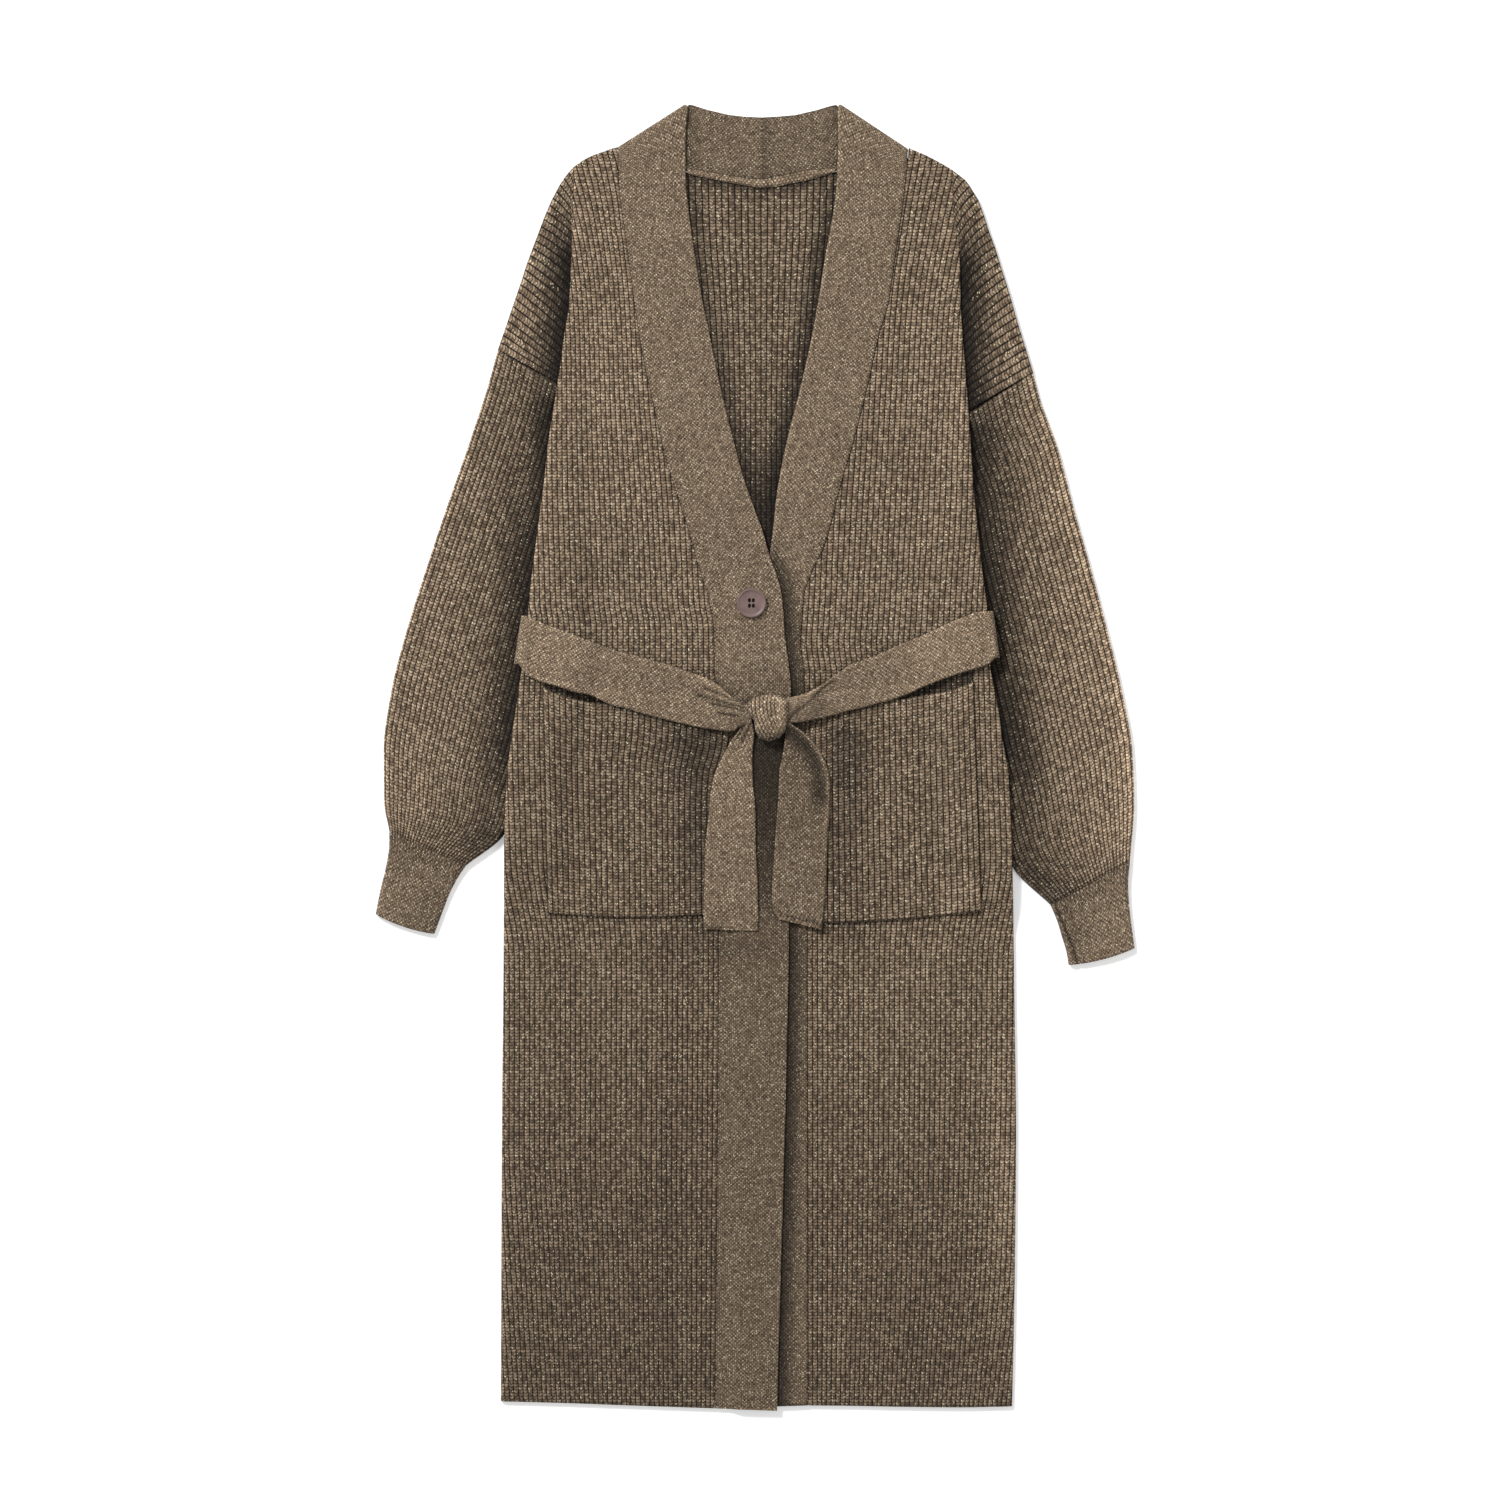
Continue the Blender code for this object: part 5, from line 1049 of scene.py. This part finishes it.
def make_pocket(name, corners, left):
    low_at = 13 if left else 14
    low_end = 19 if left else 20
    mouth, inner = path(corners[:11]), path(corners[10:low_at + 1])
    foot, outer = path(corners[low_at:low_end + 1][::-1]), path((corners[low_end:] + corners[:1])[::-1])
    ribs = POCKET_RIBS_LEFT if left else POCKET_RIBS_RIGHT
    wide, tall = (165, 225) if left else (175, 220)
    s = np.concatenate([np.array([0, 0.5, 1.3]) / wide, np.linspace(2.6 / wide, 1 - 2.6 / wide, 4 * ribs - 1),
                        1 - np.array([1.3, 0.5, 0]) / wide])
    t = np.concatenate([np.array([0, 0.6, 1.5, 3]) / tall, np.linspace(6 / tall, 1 - 6 / tall, 42),
                        1 - np.array([3, 1.5, 0.6]) / tall, [1.0]])
    s = np.concatenate([s, [1.0] * (-(len(s) - 1) % 4)])[None, :, None]
    t = np.concatenate([t, [1.0] * (-(len(t) - 1) % 4)])[:, None, None]
    m, f = mouth(s[..., 0]), foot(s[..., 0])
    o, i = outer(t[..., 0]), inner(t[..., 0])
    corner = [np.array(corners[n], float) for n in (0, 10, low_end, low_at)]
    p = (m * (1 - t) + f * t + o * (1 - s) + i * s
         - (1 - s) * (1 - t) * corner[0] - s * (1 - t) * corner[1]
         - (1 - s) * t * corner[2] - s * t * corner[3])
    x, y = p[..., 0], p[..., 1]
    s, t = s[..., 0], t[..., 0]
    d = np.minimum(np.minimum(s, 1 - s) * wide, np.minimum(t, 1 - t) * tall)
    k = s * ribs + 0 * x
    low = pocket_under(x, y)
    edge = rounded(d, 2.6)
    z = low + POCKET * (0.3 + 0.7 * edge) + RIB * rib_profile(k) * smooth((d - 1.6) / 2.5)
    outer = corners[:1] + corners[20 if left else 19:][::-1]
    below = [b for a, b in (BELT_L if left else BELT_R)]
    # painted light along the pocket's outer edge and just above its foot, painted shadow under the belt and a
    # dark painted line at the foot's edge; the right pocket painted darker
    shade = (0.92 if left else 0.80) * soft_light(x, y) * (1 + 0.24 * drawn(x, y, outer, 3.0)) + 0 * x
    shade = shade * (1 + 0.30 * bump((tall * (1 - t) - 3.4) / 3))
    shade = shade * (1 - 0.38 * smooth(1 - away(x, y, below) / 9))
    shade = shade * (1 - 0.35 * (1 - smooth((tall * (1 - t) - 0.2) / 1.6)))
    data = shell(grid(x, y, z), grid(x, y, low + 0.6 * (1 - edge)), k, t * tall / STITCH, shade)
    return build(name, [data], RIB_KNIT)


# ---------------------------------------------------------------------- belt
BELT_R = [((526.5, 616), (519, 664)), ((533, 619.4), (527, 674.6)), ((542, 623), (538, 680.6)),
          ((554, 627.6), (549, 684)), ((566, 632), (560, 687)), ((579, 637), (575, 692)),
          ((592, 642), (590, 695)), ((603, 646), (601, 700)), ((615, 650.6), (612, 705)),
          ((626, 653.4), (625, 708)), ((638, 656), (638, 712)), ((652, 660), (651, 715.5)),
          ((666, 664), (664, 719)), ((680, 669), (680, 723)), ((695, 674), (697, 727)),
          ((710, 680), (712, 729.4)), ((719, 686), (722, 730.6)), ((727, 693), (730, 731.2)),
          ((736, 700), (734, 731.2)), ((744.4, 703.6), (737.4, 728)), ((752, 706), (748, 724))]
BELT_L = [((988, 611.5), (994.6, 658)), ((984, 611.6), (987.6, 664.5)), ((978.6, 612), (980, 667.4)),
          ((970, 614.6), (972.5, 669.8)), ((962.5, 617.6), (965, 671.8)), ((948.7, 623), (949, 677)),
          ((935, 629.6), (935, 682)), ((921, 636), (921, 687.6)), ((910, 640.4), (911, 692.6)),
          ((899, 645), (900, 697)), ((889, 649.6), (887, 701)), ((879, 654), (873, 704.6)),
          ((864, 659.6), (861, 708)), ((850, 664.6), (850, 710.5)), ((841, 671), (841, 713)),
          ((832, 677), (832.7, 715.4)), ((824, 683), (824, 717.4)), ((815.5, 688.6), (813, 719.6)),
          ((800.5, 695), (801, 722.3)), ((789.6, 697.6), (790, 723.2)), ((782, 700), (783, 722))]
TAIL_R = [((750, 705), (754, 711)), ((745.8, 711), (751.4, 717.4)), ((743.2, 719), (752.4, 723.6)),
          ((740.6, 727), (753.6, 728)), ((737.2, 732.4), (754.4, 733)), ((731, 741), (753.4, 742)),
          ((726, 750), (752.5, 752)), ((721, 760), (752.4, 762)), ((716, 770), (752.5, 772)),
          ((712, 785), (753.3, 788)), ((710, 799), (754.8, 801)), ((709, 812), (755.5, 815)),
          ((707, 829), (755.6, 831)), ((705.3, 846), (755.7, 848)), ((704.8, 865), (756.8, 866)),
          ((704.5, 883), (757.6, 884)), ((703.6, 900), (758, 900)), ((703.4, 915), (758.2, 914)),
          ((704.8, 929), (757.6, 930.5))]
TAIL_L = [((779, 722), (788, 721)), ((784.2, 727.6), (794.5, 726.2)), ((785.3, 733.6), (802, 731.6)),
          ((784.5, 740), (811, 740)), ((783.4, 749), (818, 749)), ((781.6, 759), (824.4, 759.6)),
          ((779.4, 770), (828, 771)), ((778.6, 785), (829.9, 786)), ((778, 801), (829.8, 803)),
          ((776.6, 816), (828.8, 819)), ((775.5, 832), (827.5, 835)), ((774.4, 848), (827, 851)),
          ((773.5, 865), (826.5, 868)), ((772, 882), (825.4, 885)), ((771.8, 896), (824.4, 900)),
          ((773, 909), (823, 915)), ((779, 918.8), (821.7, 929))]
KNOT = [(746.8, 703.6), (749.8, 713.6), (754.3, 721), (755.6, 731.4), (759.6, 738), (768.4, 741.4),
        (778.6, 737.6), (784.2, 732), (787, 723), (788.2, 713), (787.6, 701.4), (780, 696),
        (768.4, 694.2), (754, 698.6)]
# lines where the belt's cloth is folded into the knot
PLEATS_R = [[(704, 688), (726, 697), (745, 705)], [(696, 695), (720, 701.5), (745, 708)],
            [(712, 704), (730, 707.5), (745, 711.5)], [(718, 713), (738, 716.5)]]
FLAP = [(789, 719), (797, 711.5), (806, 704), (815.5, 696), (823.5, 688), (832, 682)]
PLEATS_TAIL = [[(749, 718), (743, 728), (737.5, 738)], [(752.5, 721), (747.5, 731), (742.5, 742)]]
TAIL_FOLD = [(788, 731), (798, 740), (809, 752), (817, 768), (820, 785), (820, 800)]
TAIL_RIM = [(790, 724), (802, 732), (813, 743), (821, 756), (826.5, 770), (828.5, 786),
            (828, 812), (826.5, 835)]
TAIL_FOOT = [(773, 910), (780, 918.6), (790, 921.6), (803, 923.8), (821, 929)]
MAP_X, MAP_Y, MAP_STEP = (480, 1030), (580, 945), 1.3


def stack_map():
    """Raster of the highest cloth below the belt, softened as knit drapes."""
    xs, ys = np.arange(*MAP_X, MAP_STEP), np.arange(*MAP_Y, MAP_STEP)
    x, y = np.meshgrid(xs, ys)
    z = np.where((SIDE_RIGHT(y) <= x) & (x <= SIDE_LEFT(y)), front_top(x, y) + RIB, 0.0)
    in_right = (BAND_R_SEAM(y) <= x) & (x <= BAND_R_FREE(y))
    z = np.where(in_right, right_band_under(x, y) + PLAIN + 0.25, z)
    z = np.where((x > BAND_R_FREE(y)) & (x <= BAND_L_SEAM(y)), band_level(x, y) + PLAIN + 0.25, z)
    for poly in (POCKET_RIGHT, POCKET_LEFT):
        z = np.where(inside(x, y, poly), np.maximum(z, pocket_under(x, y) + POCKET + RIB), z)
    best = np.zeros_like(z)
    reach = 10
    padded = np.pad(z, reach, mode="edge")
    for i in range(-reach, reach + 1):
        for j in range(-reach, reach + 1):
            d2 = (i * i + j * j) * (MAP_STEP * U)**2
            shifted = padded[reach + j:reach + j + z.shape[0], reach + i:reach + i + z.shape[1]]
            best = np.maximum(best, shifted - d2 / 70)
    return best + 0.55


STACK = stack_map()


def drape(x, y):
    i = np.clip((x - MAP_X[0]) / MAP_STEP, 0, STACK.shape[1] - 1.001)
    j = np.clip((y - MAP_Y[0]) / MAP_STEP, 0, STACK.shape[0] - 1.001)
    i0, j0 = i.astype(int), j.astype(int)
    fi, fj = i - i0, j - j0
    return ((STACK[j0, i0] * (1 - fi) + STACK[j0, i0 + 1] * fi) * (1 - fj)
            + (STACK[j0 + 1, i0] * (1 - fi) + STACK[j0 + 1, i0 + 1] * fi) * fj)


def strip_columns(wide, count):
    return np.concatenate([[0, 0.4, 1.0, 1.9, 3.0], np.linspace(5, wide - 5, count - 10),
                           wide - np.array([3.0, 1.9, 1.0, 0.4, 0])]) / wide


def lay_strip(pairs, per, columns, raise_of):
    """Rows of a belt piece on what lies below it."""
    a, b = resampled(pairs, per)
    s = columns[None]
    x = a[:, :1] + (b[:, :1] - a[:, :1]) * s
    y = a[:, 1:] + (b[:, 1:] - a[:, 1:]) * s
    t = np.linspace(0, len(pairs) - 1, len(a))[:, None]
    wide = np.hypot(*(b - a).T)[:, None]
    lift_, relief = raise_of(t, s, x, y)
    low = drape(x, y) + lift_
    d = np.minimum(s, 1 - s) * wide
    edge = rounded(d, 3.0)
    z = low + PLAIN * (0.48 + 0.52 * edge) + relief * smooth(d / 3)
    run = run_along((a + b) / 2)
    return grid(x, y, z), grid(x, y, low + PLAIN * 0.45 * (1 - edge)), run, s, t, wide


def make_belt_front(name, pairs, left):
    end = len(pairs) - 2
    columns = strip_columns(FRONT_STRIP, 65)

    def raise_of(t, s, x, y):
        gather = smooth((t - (end - 6)) / 5)
        lift_ = gather * (5.5 - 2.0 * np.abs(s - 0.4))
        pleat = -1.3 * sum(drawn(x, y, line, 1.7) for line in ([FLAP] if left else PLEATS_R))
        soft = 0.4 * np.sin(t * 1.9 + 3 * s) * np.sin(t * 0.7 + 1)
        return lift_, pleat + soft

    top, low, run, s, t, wide = lay_strip(pairs, 8, columns, raise_of)
    out = 1 if left else -1
    turned_top, turned_low = [], []
    for step in range(TURN_STEPS, 0, -1):
        turn = math.pi * step / TURN_STEPS
        x, y = top[0, :, 0], top[0, :, 1]
        foot = sleeve_lift(x, y)
        edge = rounded(np.minimum(s[0], 1 - s[0]) * FRONT_STRIP, 3.0)
        for store, src, lo, r in ((turned_top, top, foot + PLAIN * 0.45 * (1 - edge), 4.6),
                                  (turned_low, low, foot + PLAIN * (0.48 + 0.52 * edge), 1.3)):
            hi = src[0, :, 2]
            z = (hi + lo) / 2 + (hi - lo) / 2 * math.cos(turn)
            store.append(grid(x + out * r * math.sin(turn), y, z))
    top = np.concatenate([np.stack(turned_top), top])
    low = np.concatenate([np.stack(turned_low), low])
    middle = top[:, 32]
    run = np.concatenate([[0], np.cumsum(np.sqrt((np.diff(middle, axis=0)**2).sum(1)))])[:, None]
    wide = np.concatenate([np.repeat(wide[:1], TURN_STEPS, 0), wide])
    top, low, run, wide = pad_rows(4, top, low, run, wide)
    d = np.minimum(s, 1 - s) * wide
    x, y = top[..., 0], top[..., 1]
    # painted light along the edges, towards the body's sides and on the upper part near the knot; then
    # painted shade along the left run's flap, under it and beside the knot, and in the right run's pleats and
    # lower part near the knot
    shade = 1.04 + 0.16 * bump((d - 1.2) / 2.6) + 0.20 * smooth((np.abs(x - CX) - 110) / 70)
    shade = shade + 0.42 * smooth(1 - s / 0.42) * smooth((78 - np.abs(x - CX)) / 30)
    if left:
        under_flap = (y > np.interp(x, *zip(*FLAP))) * smooth((838 - x) / 20) * (x > 786)
        shade = shade * (1 - 0.62 * drawn(x, y, FLAP, 1.5)) * (1 - 0.22 * under_flap)
        shade = shade * (1 - 0.35 * smooth(1 - (x - 782) / 12))
    else:
        shade = shade * (1 - 0.68 * np.clip(sum(drawn(x, y, line, 1.3) for line in PLEATS_R), 0, 1))
        shade = shade * (1 - 0.25 * smooth((x - 700) / 40) * smooth((s - 0.35) / 0.4))
    data = shell(top, low, s * FRONT_STRIP / FINE, run / FINE, shade)
    return build(name, [data], PLAIN_KNIT)


def make_belt_back():
    xs = np.concatenate([np.linspace(530, 600, 12), np.linspace(620, 900, 15), np.linspace(915, 984, 12)])
    s = strip_columns(BACK_STRIP, 21)[None]
    a = np.stack([xs, np.interp(xs, [530, 560, 950, 984], [616, 612, 612, 612])], -1)
    b = np.stack([xs, np.interp(xs, [530, 560, 950, 991], [664, 664, 664, 658])], -1)
    x = a[:, :1] + (b[:, :1] - a[:, :1]) * s
    y = a[:, 1:] + (b[:, 1:] - a[:, 1:]) * s
    edge = rounded(np.minimum(s, 1 - s) * BACK_STRIP, 3.0)
    low = sleeve_lift(x, y)
    top, under = grid(x, y, low + PLAIN * (0.48 + 0.52 * edge)), grid(x, y, low + PLAIN * 0.46 * (1 - edge))
    top, under = pad_rows(4, top, under)
    data = shell(top, under, s * BACK_STRIP / FINE, top[..., 0] / FINE)
    return build("belt_back_run", [data], PLAIN_KNIT)


def make_tail(name, pairs, left):
    columns = strip_columns(TAIL_STRIP, 61)

    def raise_of(t, s, x, y):
        lift_ = 6.5 * (1 - smooth(t / 6.0)) + 0 * s
        if left:
            relief = 1.5 * drawn(x, y, TAIL_RIM, 4.0) - 1.6 * drawn(x, y, TAIL_FOLD, 6.5)
            relief = relief + 1.3 * drawn(x, y, TAIL_FOOT, 2.5)
        else:
            relief = -1.2 * sum(drawn(x, y, line, 1.7) for line in PLEATS_TAIL)
        soft = 0.3 * np.sin(t * 1.4 + 4 * s + 1) * smooth(t / 4)
        return lift_, relief + soft

    top, low, run, s, t, wide = lay_strip(pairs, 8, columns, raise_of)
    last = rounded(run[-1] - run, 3.0)
    top[..., 2] = low[..., 2] + (top[..., 2] - low[..., 2]) * (0.5 + 0.5 * last)
    d = np.minimum(s, 1 - s) * wide
    # painted light along the edges; the left tail gets painted shade in its fold and at its top, a painted
    # highlight on its rim and on its curled foot, with a dark painted line above the foot; the right tail
    # gets painted shade in its pleats and at its top, and painted light in its middle
    shade = 1 + 0.16 * bump((d - 1.2) / 2.6)
    x, y = top[..., 0], top[..., 1]
    if left:
        shade = shade * (1 - 0.66 * drawn(x, y, TAIL_FOLD, 8.5)) * (0.70 + 0.16 * smooth((y - 780) / 110))
        shade = (shade + 0.62 * drawn(x, y, TAIL_RIM, 1.7)) * (1 - 0.45 * smooth(1 - (y - 722) / 14))
        shade = shade * (1 + 0.45 * drawn(x, y + 0.6, TAIL_FOOT, 1.5))
        shade = shade * (1 - 0.5 * drawn(x, y + 4.6, TAIL_FOOT, 1.6))
    else:
        lines = np.clip(sum(drawn(x, y, line, 1.3) for line in PLEATS_TAIL), 0, 1)
        shade = shade * (1 - 0.55 * lines) * (1 - 0.30 * smooth(1 - (y - 708) / 16))
        shade = shade * (1 + 0.14 * bump((y - 785) / 80))
    top, low, run, wide, shade = pad_rows(4, top, low, run, wide, shade)
    data = shell(top, low, s * wide / FINE, run / FINE, shade)
    return build(name, [data], PLAIN_KNIT)


def make_knot():
    """A rounded lump of wrapped belt with the knit's stripes round it."""
    around = path(KNOT + KNOT[:1])
    turn = np.linspace(0, 1, 241)
    rim = around(turn)
    cx, cy = np.mean([p[0] for p in KNOT]), np.mean([p[1] for p in KNOT])
    base = float(drape(rim[:, 0], rim[:, 1]).max()) + 0.1
    rise = np.linspace(-0.5, 1, 65)[:, None] * math.pi / 2
    spread = np.cos(rise)**0.55
    spread[-1] = 0.0
    high = 8.6
    x = cx + (rim[None, :, 0] - cx) * spread * 1.02
    y = cy + (rim[None, :, 1] - cy) * spread * 1.02
    z = base + 6.2 + np.where(rise > 0, high * 1.15, 6.0) * np.sin(rise) + 0 * x
    slope = (x - cx) - (y - cy) * 0.30 - (y - cy)**2 * 0.012
    wale = (0.5 + 0.5 * np.cos(slope * 2 * math.pi / 3.9))**3 * (1 - smooth((x - cx - 5) / 9))
    mound = smooth((rise + 0.25) / 0.5)
    z = z - 0.9 * wale * mound
    # painted shade on the knot's lower skirt and its lower side, painted light over the rest, and dark
    # painted stripes along the wales
    dark = 1 - 0.45 * (1 - smooth((rise + 0.2) / 0.9))
    shade = dark * (1.60 - 1.28 * wale) * (1 - 0.34 * smooth((y - cy - 6) / 16))
    ring = np.arange(x.size).reshape(x.shape)
    uv = np.stack([slope / FINE + 0 * x, (y - cy) / FINE + 0 * x], -1).reshape(-1, 2)
    bottom = np.array([(cx, cy, base + 0.2)])
    points = np.concatenate([grid(x, y, z).reshape(-1, 3), bottom])
    uv = np.concatenate([uv, [[0, 0]]])
    shade = np.concatenate([(shade + 0 * x).ravel(), [0.6]])
    tris = np.array([(ring[0, i + 1], ring[0, i], len(points) - 1) for i in range(240)])
    return build("belt_knot_wrap", [(points, uv, shade, quads(ring), tris)], PLAIN_KNIT)


# -------------------------------------------------------------------- button
BUTTON = (751.4, 603.4)
HOLE_R, HOLE_TALL, HOLE_X, HOLE_Y = 1.4, 1.35, 1.75, 2.45
TURNED = [(0.0, 2.5), (9.4, 2.5), (10.2, 2.55), (10.8, 2.85), (11.4, 3.2), (12.0, 3.38), (12.5, 3.4),
          (12.9, 3.2), (13.15, 2.75), (13.2, 2.2), (13.1, 1.6), (12.6, 0.9), (11.6, 0.35),
          (10.4, 0.05), (9.0, 0.0), (0.0, 0.0)]  # radius, height in mm


def make_button():
    cx, cy = BUTTON
    low = float(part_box("button")[0].z)
    steps = 72
    mesh = bpy.data.meshes.new("button_disc")
    points, faces = [], []
    for r, z in TURNED:
        for i in range(steps):
            a = 2 * math.pi * i / steps
            points.append((r * math.cos(a) / 1000, r * math.sin(a) / 1000, z / 1000))
    for j in range(len(TURNED) - 1):
        for i in range(steps):
            k = (i + 1) % steps
            faces.append((j * steps + i, (j + 1) * steps + i, (j + 1) * steps + k, j * steps + k))
    mesh.from_pydata(points, [], faces)
    disc = bpy.data.objects.new("button_disc", mesh)
    bpy.context.scene.collection.objects.link(disc)
    weld = disc.modifiers.new("weld", "WELD")
    weld.merge_threshold = 1e-6
    cutters = []
    for sx in (-1, 1):
        for sy in (-1, 1):
            bpy.ops.mesh.primitive_cylinder_add(vertices=20, radius=HOLE_R / 1000, depth=0.02,
                                                location=(sx * HOLE_X / 1000, sy * HOLE_Y / 1000, 0))
            cutter = bpy.context.object
            cutter.scale = (1.0, HOLE_TALL, 1.0)
            cut = disc.modifiers.new("hole", "BOOLEAN")
            cut.operation, cut.object = "DIFFERENCE", cutter
            cutters.append(cutter)
    graph = bpy.context.evaluated_depsgraph_get()
    solid = bpy.data.meshes.new_from_object(disc.evaluated_get(graph))
    disc.modifiers.clear()
    disc.data = solid
    for cutter in cutters:
        bpy.data.objects.remove(cutter)
    solid.transform(Matrix.Translation(((cx - CX) * U / 1000, (CY - cy) * U / 1000, low)))
    solid.materials.clear()
    solid.materials.append(BUTTON_PLASTIC)
    solid.shade_smooth()
    solid.set_sharp_from_angle(angle=math.radians(40))
    return disc


def make_thread():
    """The sewing thread that fills the button's four holes, near black as painted shade in the holes."""
    cx, cy = BUTTON
    low = float(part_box("button")[0].z) * 1000
    points, faces, steps = [], [], 16
    for sx in (-1, 1):
        for sy in (-1, 1):
            start = len(points)
            for ring, (r, z) in enumerate([(0.94, 0.3), (0.94, 0.7), (0.7, 0.9), (0.3, 1.0)]):
                for i in range(steps):
                    a = 2 * math.pi * i / steps
                    right = (cx - CX) * U + sx * HOLE_X + r * HOLE_R * math.cos(a)
                    up = (CY - cy) * U + sy * HOLE_Y + r * HOLE_R * HOLE_TALL * math.sin(a)
                    points.append((right / 1000, up / 1000, (low + z) / 1000))
                    if ring:
                        here, back_ = start + ring * steps, start + (ring - 1) * steps
                        k = (i + 1) % steps
                        faces.append((back_ + i, back_ + k, here + k, here + i))
            faces.append([start + 3 * steps + i for i in range(steps)])
            faces.append([start + i for i in range(steps)][::-1])
    mesh = bpy.data.meshes.new("button_thread")
    mesh.from_pydata(points, [], faces)
    mesh.shade_smooth()
    mesh.materials.append(THREAD_HOLE_SHADE)
    ob = bpy.data.objects.new("button_thread", mesh)
    bpy.context.scene.collection.objects.link(ob)
    return ob


def wear(piece, *nodes):
    """The piece rides on the garment and stands for its solids."""
    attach(piece, "root")
    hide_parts(*nodes)
    return piece


# piece, its node, width and length of its cut in metres, its area in square
# metres where the cut isn't a rectangle, how it is held and what it rests on
CLOTH = [
    (make_back(), "back", (0.486, 1.16), 0.50, "laid", ["belt_back"]),
    (make_front("front_right_cloth", False), "front_right", (0.24, 1.16), 0.20, "folded", ["back"]),
    (make_front("front_left_cloth", True), "front_left", (0.24, 1.16), 0.20, "folded", ["back"]),
    (make_band("band_right_cloth", False), "band_right", (0.064, 1.3), None, "folded", ["back"]),
    (make_band("band_left_cloth", True), "band_left", (0.064, 1.3), None, "folded", ["back"]),
    (make_neck_seam(), "neck_seam", (0.01, 0.136), None, "folded", ["band_right", "band_left"]),
    (make_sleeve("sleeve_right_cloth", False), "sleeve_right", (0.26, 0.47), None, "laid", ["back"]),
    (make_sleeve("sleeve_left_cloth", True), "sleeve_left", (0.27, 0.47), None, "laid", ["back"]),
    (make_cuff("cuff_right_cloth", CUFF_RIGHT, False), "cuff_right", (0.14, 0.07), None, "laid",
     ["sleeve_right"]),
    (make_cuff("cuff_left_cloth", CUFF_LEFT, True), "cuff_left", (0.15, 0.07), None, "laid",
     ["sleeve_left"]),
    (make_pocket("pocket_right_cloth", POCKET_RIGHT, False), "pocket_right", (0.16, 0.19), None, "laid",
     ["front_right"]),
    (make_pocket("pocket_left_cloth", POCKET_LEFT, True), "pocket_left", (0.15, 0.19), None, "laid",
     ["front_left"]),
    (make_belt_back(), "belt_back", (0.05, 0.42), None, "laid", ["sleeve_right", "sleeve_left"]),
    (make_belt_front("belt_right_run", BELT_R, False), "belt_front_right", (0.05, 0.23), None, "gathered",
     ["front_right", "pocket_right"]),
    (make_belt_front("belt_left_run", BELT_L, True), "belt_front_left", (0.05, 0.22), None, "gathered",
     ["front_left", "pocket_left"]),
    (make_tail("belt_right_tail", TAIL_R, False), "belt_tail_right", (0.048, 0.2), None, "laid",
     ["band_right", "pocket_right"]),
    (make_tail("belt_left_tail", TAIL_L, True), "belt_tail_left", (0.048, 0.18), None, "laid",
     ["band_right", "pocket_left"]),
]
for piece, node, *_ in CLOTH:
    wear(piece, node)
knot = wear(make_knot(), "belt_knot")
wear(make_button(), "button")
thread_ends = make_thread()
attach(thread_ends, "root")

# --------------------------------------------------------- floor, light, camera
floor_mesh = bpy.data.meshes.new("floor")
floor_mesh.from_pydata([(-6, -6, -0.0002), (6, -6, -0.0002), (6, 6, -0.0002), (-6, 6, -0.0002)], [],
                       [(0, 1, 2, 3)])
floor_mesh.materials.append(paper("floor_paper"))
floor = bpy.data.objects.new("floor", floor_mesh)
bpy.context.scene.collection.objects.link(floor)

world = bpy.data.worlds.new("soft_sky")
world.use_nodes = True
world.node_tree.nodes["Background"].inputs[0].default_value = (1.0, 1.0, 1.0, 1.0)
world.node_tree.nodes["Background"].inputs[1].default_value = 0.40
bpy.context.scene.world = world


def softbox(name, place, size, watts):
    light = bpy.data.lights.new(name, "AREA")
    light.size = size
    light.energy = watts
    ob = bpy.data.objects.new(name, light)
    ob.location = place
    direction = -np.array(place)
    ob.rotation_euler = (math.atan2(math.hypot(direction[0], direction[1]), -direction[2]), 0,
                         math.atan2(direction[1], direction[0]) - math.pi / 2)
    bpy.context.scene.collection.objects.link(ob)


softbox("key", (-3.8, 4.6, 5.2), 1.5, 620)
softbox("fill", (4.4, -1.2, 6.4), 3.0, 90)

VIEW_X, VIEW_Y = (750 - CX) * U / 1000, (CY - 750) * U / 1000
HEIGHT, SENSOR = 6.0, 36.0
FRAME_WIDTH = 1500 * U / 1000
camera = bpy.data.cameras.new("camera")
camera.sensor_width = SENSOR
camera.lens = SENSOR * HEIGHT / FRAME_WIDTH
eye = bpy.data.objects.new("camera", camera)
eye.location = (VIEW_X, VIEW_Y, HEIGHT)
bpy.context.scene.collection.objects.link(eye)
bpy.context.scene.camera = eye
bpy.context.scene.view_settings.view_transform = "Standard"
